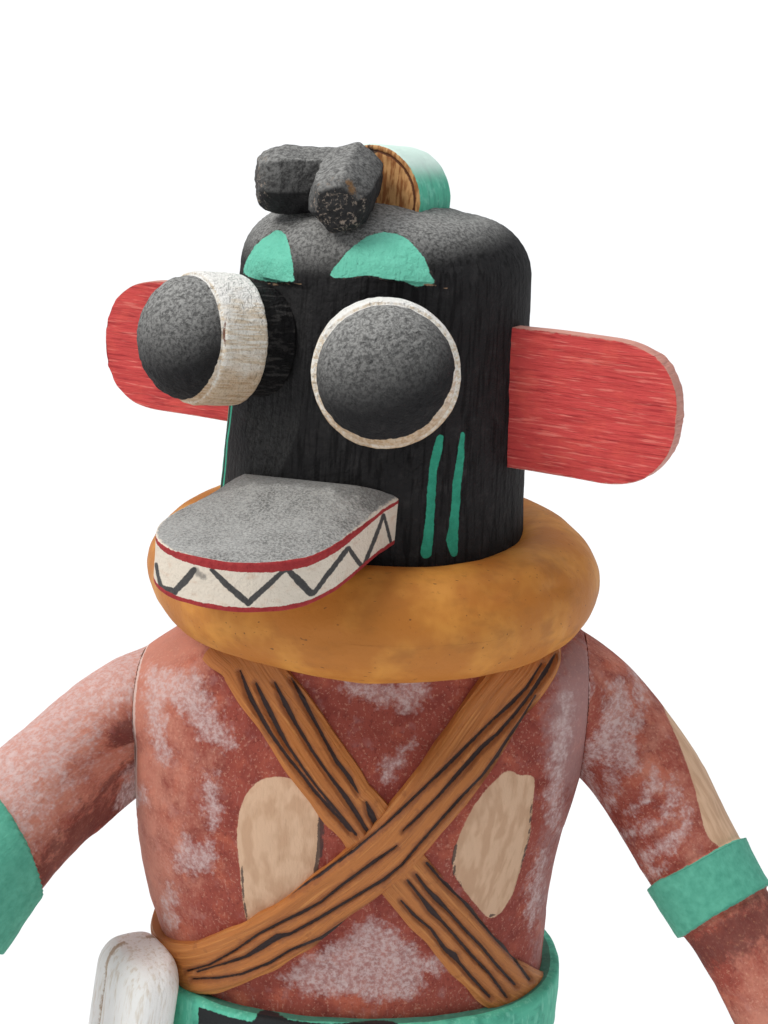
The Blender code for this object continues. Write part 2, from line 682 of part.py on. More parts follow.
def make_eye(name, side, head_frame, head, parts, cutters):
    """A short neck, a band and a dome in one turned piece, let into the head."""
    size = EYE_RIGHT_SCALE if side < 0 else 1.0
    band_radius = EYE_BAND_RADIUS * size
    ball_radius = EYE_BALL_RADIUS * size
    height = EYE_HEIGHT - side * EYE_HEIGHT_DIFFERENCE / 2
    neck_start = head_wall(height) - EYE_SEAT_DEPTH
    rear = EYE_BAND_REAR
    front = rear + EYE_BAND_LENGTH
    edge = 0.5 * MM
    profile = []
    for i in range(6):
        angle = PI / 2 * i / 5
        profile.append((ball_radius * math.sin(angle),
                        front + EYE_BALL_HEIGHT * math.cos(angle)))
    profile += [(band_radius - edge, front), (band_radius, front - edge),
                (band_radius, rear + edge), (band_radius - edge, rear),
                (EYE_NECK_RADIUS, rear), (EYE_NECK_RADIUS, neck_start), (0.0, neck_start)]
    eye = place(turned(name, profile, EYE_AROUND), parts, "cream", head_frame)
    spread = math.radians(side * EYE_SPREAD)
    axis_foot = Vector((0.0, 0.0, height))
    outward = Vector((math.sin(spread), -math.cos(spread), 0.0))
    start = axis_foot + (outward - eye_direction(side)) * EYE_BAND_REAR
    aim(eye, eye_direction(side), start)
    seat = turned("head_seat_" + name, [
        (0.0, front), (EYE_NECK_RADIUS + FIT_GAP, front),
        (EYE_NECK_RADIUS + FIT_GAP, neck_start - FIT_GAP), (0.0, neck_start - FIT_GAP)], EYE_AROUND)
    seat.parent = head_frame
    aim(seat, eye_direction(side), start)
    join(head, seat, "DIFFERENCE", cutters)
    return eye


def ear_outline(side, grown):
    """A paddle: straight edges from inside the head, and a squarish round tip."""
    root = head_wall(EAR_HEIGHT) - EAR_SEAT_DEPTH - grown
    reach = EAR_REACH + (EAR_RIGHT_EXTRA if side < 0 else 0.0)
    neck = reach - EAR_TIP_LENGTH
    half = EAR_HALF_HEIGHT + grown
    points = [(side * root, EAR_HEIGHT + half), (side * root, EAR_HEIGHT - half)]
    for i in range(17):
        angle = PI * (i / 16 - 0.5)
        x = neck + (EAR_TIP_LENGTH + grown) * power(math.cos(angle), 2.0 / EAR_SQUARENESS)
        z = EAR_HEIGHT + half * power(math.sin(angle), 2.0 / EAR_SQUARENESS)
        points.append((side * x, z))
    return points


def make_ear(name, side, head_frame, head, parts, cutters):
    for solid_name, grown in ((name, 0.0), ("head_seat_" + name, FIT_GAP)):
        half = EAR_THICKNESS / 2 + grown
        outline = ear_outline(side, grown)
        rings = [[Vector((x, EAR_SET_BACK + y, z)) for x, z in outline] for y in (-half, half)]
        solid = loft(solid_name, rings)
        solid.parent = head_frame
        if grown:
            join(head, solid, "DIFFERENCE", cutters)
        else:
            place(solid, parts, "red", head_frame)


def snout_outline(grown):
    """A tongue seen from above, from inside the head to its round end."""
    root = head_wall(SNOUT_TOP_HEIGHT) * SNOUT_ROOT_SHARE - SNOUT_SEAT_DEPTH - grown
    neck = SNOUT_REACH - SNOUT_ROUND_LENGTH
    half = SNOUT_HALF_WIDTH + grown
    points = [(half, -root), (half, -0.5 * (root + neck))]
    for i in range(21):
        angle = PI * i / 20
        points.append((half * power(math.cos(angle), 0.92),
                       -neck - (SNOUT_ROUND_LENGTH + grown) * power(math.sin(angle), 0.92)))
    points.append((-half, -0.5 * (root + neck)))
    points.append((-half, -root))
    return points


def snout_rise(x, y):
    """How much higher the snout's top and its whole left edge are, towards the head."""
    share = min(max((y + HEAD_BOTTOM_RADIUS + SNOUT_ROOT_LENGTH) / SNOUT_ROOT_LENGTH, 0.0), 1.0)
    across = min(abs(x) / SNOUT_HALF_WIDTH, 1.0)
    return (SNOUT_ROOT_RISE * (1.0 - across**2) * share**1.5,
            SNOUT_LEFT_LIFT * max(x, 0.0) / SNOUT_HALF_WIDTH * share)


def make_snout(head_frame, head, ruff, parts, cutters):
    """A tongue whose top is arched where it leaves the head, and flat at its end."""
    slope = math.tan(math.radians(SNOUT_DROOP))
    for solid_name, grown in (("snout", 0.0), ("head_seat_snout", FIT_GAP)):
        outline = snout_outline(grown)
        rings = []
        layers = ((1.0, -SNOUT_THICKNESS - grown), (1.0, grown), (0.85, SNOUT_CROWN * 0.4 + grown),
                  (0.6, SNOUT_CROWN * 0.8 + grown), (0.3, SNOUT_CROWN + grown))
        for share, rise in layers:
            ring = []
            for x, y in outline:
                inward = Vector((x * share, y * share - SNOUT_CROWN_CENTRE * (1 - share)))
                fall = (-inward.y - HEAD_BOTTOM_RADIUS) * slope
                arch, lift = snout_rise(inward.x, inward.y)
                lift += arch if rise > -SNOUT_THICKNESS / 2 else 0.0
                ring.append(Vector((inward.x, inward.y, SNOUT_TOP_HEIGHT + rise + lift - fall)))
            rings.append(ring)
        solid = loft(solid_name, rings)
        solid.parent = head_frame
        if grown:
            join(head, solid, "DIFFERENCE", cutters)
            join(ruff, solid, "DIFFERENCE", cutters)
        else:
            place(solid, parts, "cream", head_frame)


def make_crest_roll(head_frame, head, parts, cutters):
    """A short turned roll that lies along the top of the head, half sunk in it."""
    for solid_name, grown in (("crest_roll", 0.0), ("head_seat_roll", FIT_GAP)):
        front = ROLL_RADIUS + grown
        rear = ROLL_REAR_RADIUS + grown
        profile = [(0.0, ROLL_LENGTH + grown), (rear * 0.8, ROLL_LENGTH + grown),
                   (rear, ROLL_LENGTH - ROLL_REAR_EDGE + grown), (front, ROLL_FRONT_EDGE),
                   (front - ROLL_FRONT_EDGE, -grown), (0.0, -grown)]
        solid = turned(solid_name, profile, EYE_AROUND)
        solid.parent = head_frame
        aim(solid, Vector((0.0, 1.0, 0.0)), Vector((ROLL_X, ROLL_FRONT_Y, ROLL_AXIS_HEIGHT)))
        if grown:
            join(head, solid, "DIFFERENCE", cutters)
        else:
            place(solid, parts, "turquoise", head_frame)


def make_knob(name, start, end, radius):
    """A stubby rod with round ends, cut in broad facets."""
    bm = bmesh.new()
    bmesh.ops.create_icosphere(bm, subdivisions=2, radius=radius)
    axis = end - start
    for vert in bm.verts:
        vert.co.z += math.copysign(axis.length / 2, vert.co.z + 0.01 * MM)
    spin = Vector((0.0, 0.0, 1.0)).rotation_difference(axis.normalized()).to_matrix()
    bmesh.ops.rotate(bm, cent=(0.0, 0.0, 0.0), matrix=spin, verts=bm.verts)
    bmesh.ops.translate(bm, vec=(start + end) / 2, verts=bm.verts)
    return from_bmesh(name, bm, sharp_angle=12.0)


def make_crest_knobs(head_frame, head, parts, cutters):
    """Two faceted knobs that lie side by side on the front of the crown."""
    solids = []
    for number, rod in enumerate((KNOB_RIGHT_ROD, KNOB_LEFT_ROD)):
        start, end = (Vector(point) * MM for point in rod)
        solid = make_knob("crest_knob_" + str(number), start, end, KNOB_RADIUS)
        solid.parent = head_frame
        solids.append(solid)
        seat = make_knob("head_seat_knob_" + str(number), start, end, KNOB_RADIUS + FIT_GAP)
        seat.parent = head_frame
        join(head, seat, "DIFFERENCE", cutters)
    knobs = place(solids[0], parts, "black", head_frame)
    knobs.name = "crest_knobs"
    join(knobs, solids[1], "UNION", cutters)


def make_sash(parts, cutters):
    """A thick flat sash that hangs from the belt at the right hip, outside the kilt."""
    foot = Vector(oval(SASH_TURN, BELT_HALF_WIDTH, BELT_HALF_DEPTH, TORSO_SQUARENESS))
    ahead = Vector(oval(SASH_TURN + 1.0, BELT_HALF_WIDTH, BELT_HALF_DEPTH, TORSO_SQUARENESS))
    along = (ahead - foot).normalized()
    outward = Vector((along.y, -along.x))
    rings = []
    for i in range(SASH_ROWS):
        share = (i / (SASH_ROWS - 1)) ** 1.3
        down = share * SASH_LENGTH
        round_in = 1.0
        if down < SASH_ROUNDING:
            round_in = 0.45 + 0.55 * math.sqrt(1 - (1 - down / SASH_ROUNDING) ** 2)
        centre = foot + outward * (SASH_HALF_THICKNESS * 0.7 + SASH_FLARE * share)
        ring = []
        for turn in turns(20):
            x, y = oval(turn, SASH_HALF_WIDTH * round_in, SASH_HALF_THICKNESS * round_in,
                        SASH_SQUARENESS)
            point = centre + along * x - outward * y
            ring.append(Vector((point.x, point.y, BELT_TOP_HEIGHT + SASH_ABOVE_BELT - down)))
        rings.append(ring)
    sash = place(loft("rain_sash", rings), parts, "white")
    room = loft("rain_sash_room", trunk_rings(FIT_GAP, STRAP_OVER_THICKNESS + 2 * FIT_GAP))
    join(sash, room, "DIFFERENCE", cutters)


def make_base(parts):
    bpy.ops.mesh.primitive_cylinder_add(vertices=BASE_AROUND, radius=1.0, depth=BASE_HEIGHT,
                                        location=(0.0, 0.0, BASE_HEIGHT / 2))
    base = bpy.context.object
    base.name = "base"
    base.scale = (BASE_HALF_WIDTH, BASE_HALF_DEPTH, 1.0)
    bpy.ops.object.transform_apply(location=False, rotation=False, scale=True)
    bevel = base.modifiers.new("chamfer", "BEVEL")
    bevel.width = BASE_CHAMFER
    bevel.segments = 2
    bevel.limit_method = "ANGLE"
    base.data.shade_smooth()
    base.data.set_sharp_from_angle(angle=math.radians(40.0))
    place(base, parts, "wood")


def main():
    clear_scene()
    parts = make_collection("kachina_doll")
    cutters = make_collection("cutters")
    head_frame = make_head_frame(parts)
    make_base(parts)
    make_body(parts, cutters)
    make_arm("arm_right", RIGHT_ARM_POINTS, RIGHT_ARM_HALF_WIDTH, RIGHT_ARM_TAPER,
             RIGHT_ARMBAND, -1, parts, cutters)
    make_arm("arm_left", LEFT_ARM_POINTS, LEFT_ARM_HALF_WIDTH, LEFT_ARM_TAPER,
             LEFT_ARMBAND, 1, parts, cutters)
    ruff = make_ruff(head_frame, parts, cutters)
    head = make_head(head_frame, parts)
    for side, word in ((-1, "right"), (1, "left")):
        make_eye("eye_" + word, side, head_frame, head, parts, cutters)
        make_ear("ear_" + word, side, head_frame, head, parts, cutters)
    make_snout(head_frame, head, ruff, parts, cutters)
    make_crest_roll(head_frame, head, parts, cutters)
    make_crest_knobs(head_frame, head, parts, cutters)
    make_sash(parts, cutters)


main()
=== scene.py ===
"""The carved and painted surfaces of the kachina doll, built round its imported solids.

Shapes are worked out in millimetres in the solids' own frame. A painted mark that is known
from the front is given in points of the 768 by 1024 picture and stored on the surface it is on.
"""

import math

import bpy
import numpy as np
from mathutils import Matrix, Vector


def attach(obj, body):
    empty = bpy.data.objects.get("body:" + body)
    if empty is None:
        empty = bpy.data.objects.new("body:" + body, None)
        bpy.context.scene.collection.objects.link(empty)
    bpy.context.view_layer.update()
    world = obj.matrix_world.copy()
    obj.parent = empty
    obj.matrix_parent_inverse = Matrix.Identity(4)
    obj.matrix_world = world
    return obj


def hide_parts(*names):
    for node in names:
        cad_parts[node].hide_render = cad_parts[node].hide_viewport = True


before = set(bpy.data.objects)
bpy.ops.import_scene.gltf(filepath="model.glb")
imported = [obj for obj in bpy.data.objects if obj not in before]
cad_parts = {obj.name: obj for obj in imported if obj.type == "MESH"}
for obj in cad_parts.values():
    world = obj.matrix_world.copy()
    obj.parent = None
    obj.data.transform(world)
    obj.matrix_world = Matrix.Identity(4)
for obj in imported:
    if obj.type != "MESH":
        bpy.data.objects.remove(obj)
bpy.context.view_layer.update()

MM = 0.001
PI = math.pi
OFF = -9.0
SHARP_EDGE = 50.0
FRAME_WIDTH = 768
FRAME_HEIGHT = 1024

# Camera
CAMERA_PLACE = np.array([11.1, -299.3, 271.4])
CAMERA_FOCUS = 1833.0
CAMERA_DIP = 16.07
CAMERA_TURN = -1.56
CAMERA_ROLL = 1.59
SENSOR_WIDTH = 36.0

# Base, legs, kilt and belt
BASE_HEIGHT = 12.0
BASE_HALF = (50.0, 42.0)
FOOT = (34.0, 8.6, 13.0)
FOOT_TURN_OUT = 8.0
HEEL_Y = 11.0
SOLE = BASE_HEIGHT + 0.3
LEG_SPACING = 23.0
KILT_HEM = (55.0, 41.5, 31.0)
KILT_TOP = (91.4, 35.4, 25.0)
BELT_TOP = 102.4
BELT_HALF = (36.9, 27.0)
BELT_EDGE = 0.8

# Torso: height, half width, half depth
TORSO = [(102.4, 33.6, 23.6), (114.41, 35.6, 23.6), (134.0, 38.8, 25.4), (145.5, 40.35, 24.6),
         (157.0, 42.4, 20.5), (169.0, 26.5, 19.8)]
TORSO_HEIGHT = 66.6
TORSO_SQUARENESS = 2.3
TORSO_SWAY = -1.8
SHOULDER_TILT = 4.2
SHOULDER_FACE_X = 38.2
SHOULDER_FACE_BOTTOM = 131.0
SHOULDER_HEIGHT = 157.0
NECK_RADIUS = 19.8
NECK_HEIGHTS = (169.5, 179.0)
TORSO_FOOT = (98.0, 33.4, 23.4)
TORSO_GAP = 0.24
ARM_GAP = 0.245

# Straps on the chest: shares of the chest's half width and of the torso's height
STRAP_WIDTH = 9.6
UNDER_FRONT = [(-0.56, 1.0), (-0.464, 0.947), (-0.322, 0.835), (-0.116, 0.677), (0.137, 0.482),
               (0.412, 0.264), (0.686, 0.045)]
OVER_FRONT = [(0.709, 0.947), (0.606, 0.835), (0.399, 0.677), (0.137, 0.482),
              (-0.284, 0.242), (-0.686, 0.069)]

# Ruff and head
RUFF_PLACE = (1.5, 0.0, 175.2)
RUFF_RADII = (29.2, 9.1)
RUFF_TILT = 1.5
HEAD_PLACE = np.array([0.6, 1.0, 181.2])
HEAD_ANGLES = (-2.3, 1.9, -25.0)
HEAD_HEIGHT = 56.4
HEAD_RADII = (26.0, 24.0)
HEAD_ROUNDING = 9.8
CROWN_RISE = 2.0
HEAD_WALL_HEIGHT = HEAD_HEIGHT - HEAD_ROUNDING - CROWN_RISE
EYE_HEIGHTS = {-1: 34.3, 1: 32.9}
EYE_SIZES = {-1: 0.94, 1: 1.0}
EYE_SPREAD = 28.0
EYE_TILT = 3.4
EYE_REAR = 28.4
EYE_BAND_LENGTH = 8.0
EYE_NECK_RADIUS = 9.0
EYE_BAND_RADIUS = 11.1
EYE_DOME_RADIUS = 10.3
EYE_DOME_RISE = 7.7

# Arms: out from the shoulder's face, back, up from the shoulder
RIGHT_ARM = [(-10.6, 6.0, -5.2), (0.6, 0.0, -10.7), (11.6, -11.0, -17.4), (23.0, -22.8, -27.1),
             (30.7, -31.5, -39.7), (35.9, -38.0, -54.2), (40.6, -44.0, -69.1)]
LEFT_ARM = [(-8.0, 0.0, 0.8), (2.6, 0.1, -7.3), (12.3, -5.7, -17.6), (21.4, -14.4, -30.3),
            (30.5, -23.1, -43.2), (37.1, -30.3, -56.4), (41.8, -36.6, -69.9)]
ARM_DEPTH = 10.2
RIGHT_ARMBAND = (47.2, 63.5)
RIGHT_ARMBAND_LEAN = 3.6
ARMBAND_LEAN_TURN = 30.0
LEFT_ARMBAND = (44.0, 53.5)
FINGER_SHARE = 0.028
FINGER_DEPTH = 0.55
THUMB_SHARE = 0.90
THUMB_HALVES = (3.2, 3.0, 6.2)


def rgb(red, green, blue):
    """A colour of a picture, 0 to 255, as the amounts of light that the shader takes."""
    share = np.array([red, green, blue]) / 255.0
    light = np.where(share <= 0.04045, share / 12.92, ((share + 0.055) / 1.055) ** 2.4)
    return (*[float(v) for v in light], 1.0)


BLACK = rgb(36, 35, 36)
BLACK_GREY = rgb(64, 62, 62)
# Light grey of dusty specks and painted sheen on black that faces upwards
DUST_AND_SHEEN_GREY = rgb(168, 167, 164)
TURQUOISE = rgb(92, 190, 160)
TURQUOISE_DARK = rgb(56, 140, 118)
TURQUOISE_PALE = rgb(140, 220, 196)
CREAM = rgb(222, 210, 194)
WHITE = rgb(251, 250, 247)
TAN = rgb(196, 158, 128)
OCHRE = rgb(184, 114, 42)
OCHRE_DARK = rgb(160, 100, 40)
STRAP = rgb(180, 110, 52)
STRAP_DARK = rgb(146, 84, 38)
BURNT = rgb(48, 30, 28)
RED_BROWN = rgb(150, 72, 60)
RED_DEEP = rgb(120, 48, 42)
RED_ORANGE = rgb(186, 98, 74)
EAR_RED = rgb(208, 72, 70)
EAR_DEEP = rgb(162, 38, 44)
EAR_RIM = rgb(186, 120, 108)


# Numbers on surfaces
def turn_matrix(axis, degrees):
    return np.array(Matrix.Rotation(math.radians(degrees), 3, axis))


def camera_axes():
    dip, turn, roll = (math.radians(v) for v in (CAMERA_DIP, CAMERA_TURN, CAMERA_ROLL))
    ahead = np.array([math.sin(turn) * math.cos(dip), math.cos(turn) * math.cos(dip),
                      -math.sin(dip)])
    right = np.array([math.cos(turn), -math.sin(turn), 0.0])
    up = np.cross(right, ahead)
    return (right * math.cos(roll) + up * math.sin(roll),
            up * math.cos(roll) - right * math.sin(roll), ahead)


RIGHT, UP, AHEAD = camera_axes()
HEAD_TURN = turn_matrix("Y", HEAD_ANGLES[1]) @ turn_matrix("X", HEAD_ANGLES[0]) @ \
    turn_matrix("Z", HEAD_ANGLES[2])


def from_head(points):
    """Points of the head's own frame in the figure's frame."""
    return points @ HEAD_TURN.T + HEAD_PLACE


def picture(points):
    """Where points appear in the picture, and how many picture points make a millimetre."""
    away = points - CAMERA_PLACE
    depth = away @ AHEAD
    x = FRAME_WIDTH / 2 + CAMERA_FOCUS * (away @ RIGHT) / depth
    y = FRAME_HEIGHT / 2 - CAMERA_FOCUS * (away @ UP) / depth
    return np.stack([x, y], -1), CAMERA_FOCUS / depth


def facing(points, outward):
    """1 where a surface faces the camera, -1 where it faces away."""
    return (unit(CAMERA_PLACE - points) * outward).sum(-1)


def hashed(i, j, k, seed):
    """A number between -1 and 1 that a corner of a lattice always gets."""
    n = (i * 73856093) ^ (j * 19349663) ^ (k * 83492791) ^ (seed * 15485863)
    n = ((n ^ (n >> 13)) * 1274126177) & 0xFFFFFFFF
    return ((n ^ (n >> 16)) & 0xFFFF) / 32767.5 - 1.0


def noise(points, size, seed=1, octaves=1):
    """Smooth noise between -1 and 1 in cells of the given size."""
    total = np.zeros(points.shape[:-1])
    weight = 1.0
    place = points / np.array(size, float)
    for octave in range(octaves):
        low = np.floor(place).astype(np.int64)
        part = place - low
        part = part * part * (3 - 2 * part)
        value = 0.0
        for di in (0, 1):
            for dj in (0, 1):
                for dk in (0, 1):
                    corner = hashed(low[..., 0] + di, low[..., 1] + dj, low[..., 2] + dk,
                                    seed + octave)
                    share = (part[..., 0] if di else 1 - part[..., 0]) * \
                        (part[..., 1] if dj else 1 - part[..., 1]) * \
                        (part[..., 2] if dk else 1 - part[..., 2])
                    value = value + corner * share
        total = total + weight * value
        weight *= 0.5
        place = place * 2.03
    return total


def step(low, high, value):
    """0 below low, 1 above high and smooth between them."""
    share = np.clip((value - low) / (high - low), 0.0, 1.0)
    return share * share * (3 - 2 * share)


def bumps(points, *layers):
    """Rises and dips in millimetres. A layer is an amount, a size, a seed and maybe octaves."""
    return sum(amount * noise(points, *layer) for amount, *layer in layers)


def raised(grid, outward, height):
    """A grid moved outwards by a height in millimetres."""
    return grid + outward * height[..., None]


def unit(vectors):
    return vectors / np.linalg.norm(vectors, axis=-1, keepdims=True)


def drawn_on(points, axes):
    """Points of a piece's own frame, drawn along the three axes of another."""
    return sum(points[..., i:i + 1] * axis for i, axis in enumerate(axes))


def smooth(stations, where):
    """Rows read at places between 0 and 1 on a curve through the stations."""
    rows = np.array(stations, float)
    rows = np.vstack([2 * rows[0] - rows[1], rows, 2 * rows[-1] - rows[-2]])
    spans = len(stations) - 1
    where = np.asarray(where, float)
    span = np.minimum((where * spans).astype(int), spans - 1)
    t = (where * spans - span)[:, None]
    a, b, c, d = (rows[span + k] for k in range(4))
    return 0.5 * (2 * b + (c - a) * t + (2 * a - 5 * b + 4 * c - d) * t**2
                  + (3 * b - a - 3 * c + d) * t**3)


def distances(path):
    """How far along a path each of its points lies."""
    return np.concatenate([[0.0], np.cumsum(np.linalg.norm(np.diff(path, axis=0), axis=1))])


def read_path(path, places, wanted):
    """Points of a path at wanted places along it."""
    return np.stack([np.interp(wanted, places, column) for column in path.T], -1)


def evenly(path, spacing):
    """Points at even distances along a path."""
    path = np.array(path, float)
    places = distances(path)
    count = max(int(places[-1] / spacing) + 1, 3)
    return read_path(path, places, np.linspace(0.0, places[-1], count))


def rounded(outline, steps=5):
    """A closed outline drawn through its corners as one smooth curve."""
    rows = np.array(outline, float)
    out = []
    for i in range(len(rows)):
        a, b, c, d = (rows[(i + k) % len(rows)] for k in (-1, 0, 1, 2))
        for s in range(steps):
            t = s / steps
            out.append(0.5 * (2 * b + (c - a) * t + (2 * a - 5 * b + 4 * c - d) * t**2
                              + (3 * b - a - 3 * c + d) * t**3))
    return np.array(out)


def outline_depth(xy, outline):
    """How far inside an outline points lie; negative outside."""
    x, y = xy[..., 0], xy[..., 1]
    nearest = np.full(x.shape, 1e9)
    inside = np.zeros(x.shape, bool)
    for a, b in zip(outline, np.roll(outline, -1, 0)):
        dx, dy = b - a
        t = np.clip(((x - a[0]) * dx + (y - a[1]) * dy) / (dx * dx + dy * dy + 1e-12), 0, 1)
        nearest = np.minimum(nearest, np.hypot(x - a[0] - t * dx, y - a[1] - t * dy))
        crosses = (a[1] > y) != (b[1] > y)
        inside ^= crosses & (x < (b[0] - a[0]) * (y - a[1]) / (b[1] - a[1] + 1e-12) + a[0])
    return np.where(inside, nearest, -nearest)


def stroke_depth(xy, spine):
    """How far inside a brush stroke points lie. A spine's row is x, y and half its width."""
    x, y = xy[..., 0], xy[..., 1]
    depth = np.full(x.shape, -1e9)
    for a, b in zip(spine, spine[1:]):
        dx, dy = b[0] - a[0], b[1] - a[1]
        t = np.clip(((x - a[0]) * dx + (y - a[1]) * dy) / (dx * dx + dy * dy + 1e-12), 0, 1)
        away = np.hypot(x - a[0] - t * dx, y - a[1] - t * dy)
        depth = np.maximum(depth, a[2] + (b[2] - a[2]) * t - away)
    return depth


def marks(points, outward, strokes=(), outlines=(), least_facing=0.05):
    """Depth in millimetres inside painted marks that are given in the picture."""
    xy, scale = picture(points)
    depth = np.full(scale.shape, -1e9)
    for spine in strokes:
        depth = np.maximum(depth, stroke_depth(xy, spine))
    for outline in outlines:
        depth = np.maximum(depth, outline_depth(xy, rounded(outline)))
    depth = depth / scale
    return np.where(facing(points, outward) > least_facing, np.maximum(depth, OFF), OFF)


def around(count):
    """A row of turns all the way round, with the seam at the back."""
    return np.linspace(-180.0, 180.0, count, endpoint=False)[None]


def full_turn(count):
    """A row of angles all the way round, in radians."""
    return np.linspace(0.0, 2 * PI, count, endpoint=False)[None]


def lattice(rows, turn):
    """Each column of rows, and the turns, spread over a grid of rows and turns."""
    rows = np.array(rows, float)
    return *[column[:, None] + 0 * turn for column in rows.T], turn + 0 * rows[:, :1]


def oval(turn, half_width, half_depth, squareness=2.0):
    """Points of a squarish oval: turn is 0 at the front (-Y) and 90 at the left (+X)."""
    angle = np.radians(turn)
    s, c = np.sin(angle), np.cos(angle)
    share = 2.0 / squareness
    return (half_width * np.sign(s) * np.abs(s) ** share,
            -half_depth * np.sign(c) * np.abs(c) ** share)


def shell(sizes, count, squareness=2.0):
    """A stack of ovals. A row of sizes is a height, half a width and half a depth."""
    height, half_width, half_depth, turn = lattice(sizes, around(count))
    return np.stack([*oval(turn, half_width, half_depth, squareness), height], -1)


def bare(grid, *names):
    """Layers for marks that a surface doesn't have."""
    return {name: np.full(grid.shape[:2], OFF) for name in names}


def normals(grid, wrap=True):
    """Outward directions on a grid whose rows go up and whose points go round to the left."""
    if wrap:
        across = np.roll(grid, -1, 1) - np.roll(grid, 1, 1)
    else:
        across = np.gradient(grid, axis=1)
    along = np.gradient(grid, axis=0)
    out = np.cross(across, along)
    return out / np.maximum(np.linalg.norm(out, axis=-1, keepdims=True), 1e-9)


def turned_out(grid, middle, *others):
    """Grids, with their points in the order that makes the first one's normals point out."""
    if ((grid - middle) * normals(grid)).sum() < 0:
        return tuple(item[:, ::-1] for item in (grid, *others))
    return (grid, *others)


class Shape:
    """A mesh gathered from grids of points, with values stored on its points."""

    def __init__(self):
        self.points, self.faces, self.layers, self.count = [], [], {}, 0

    def add(self, grid, wrap=True, start=True, end=True, **layers):
        """Joins a grid on: wrap closes it round, start and end close its first and last rows."""
        layers.setdefault("own", grid)
        rows, cols = grid.shape[:2]
        index = np.arange(rows * cols).reshape(rows, cols) + self.count
        here = index if wrap else index[:, :-1]
        beside = np.roll(index, -1, 1) if wrap else index[:, 1:]
        quads = np.stack([here[:-1], beside[:-1], beside[1:], here[1:]], -1).reshape(-1, 4)
        self.faces += quads.tolist()
        points = [grid.reshape(-1, 3)]
        values = {name: [v.reshape(rows * cols, -1)] for name, v in layers.items()}
        added = rows * cols
        for wanted, row, order in ((start, 0, -1), (end, -1, 1)):
            if not wanted:
                continue
            points.append(grid[row].mean(0)[None])
            for name, v in layers.items():
                values[name].append(v[row].reshape(cols, -1).mean(0)[None])
            centre = self.count + added
            ring = index[row]
            after = np.roll(ring, -1)
            fan = [(centre, int(a), int(b)) if order > 0 else (centre, int(b), int(a))
                   for a, b in zip(ring, after)]
            self.faces += fan
            added += 1
        self.points.append(np.concatenate(points))
        for name in set(self.layers) | set(values):
            width = (self.layers.get(name) or values.get(name))[0].shape[1]
            if name not in self.layers:
                self.layers[name] = [np.full((self.count, width), OFF)] if self.count else []
            self.layers[name].append(np.concatenate(values[name]) if name in values
                                     else np.full((added, width), OFF))
        self.count += added
        return self

    def piece(self, name, material, *nodes, slot):
        """Makes the gathered mesh a piece of the model, in place of solids' nodes."""
        mesh = bpy.data.meshes.new(name)
        points = np.concatenate(self.points) * MM
        mesh.from_pydata(points.tolist(), [], self.faces)
        for layer, rows in self.layers.items():
            rows = np.concatenate(rows)
            kind, field = ("FLOAT", "value") if rows.shape[1] == 1 else ("FLOAT_VECTOR", "vector")
            attribute = mesh.attributes.new(layer, kind, "POINT")
            attribute.data.foreach_set(field, rows.astype(np.float32).ravel())
        mesh.materials.append(material)
        mesh.shade_smooth()
        mesh.set_sharp_from_angle(angle=math.radians(SHARP_EDGE))
        mesh.update()
        item = bpy.data.objects.new(name, mesh)
        bpy.context.scene.collection.objects.link(item)
        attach(item, "root")
        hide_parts(*nodes)


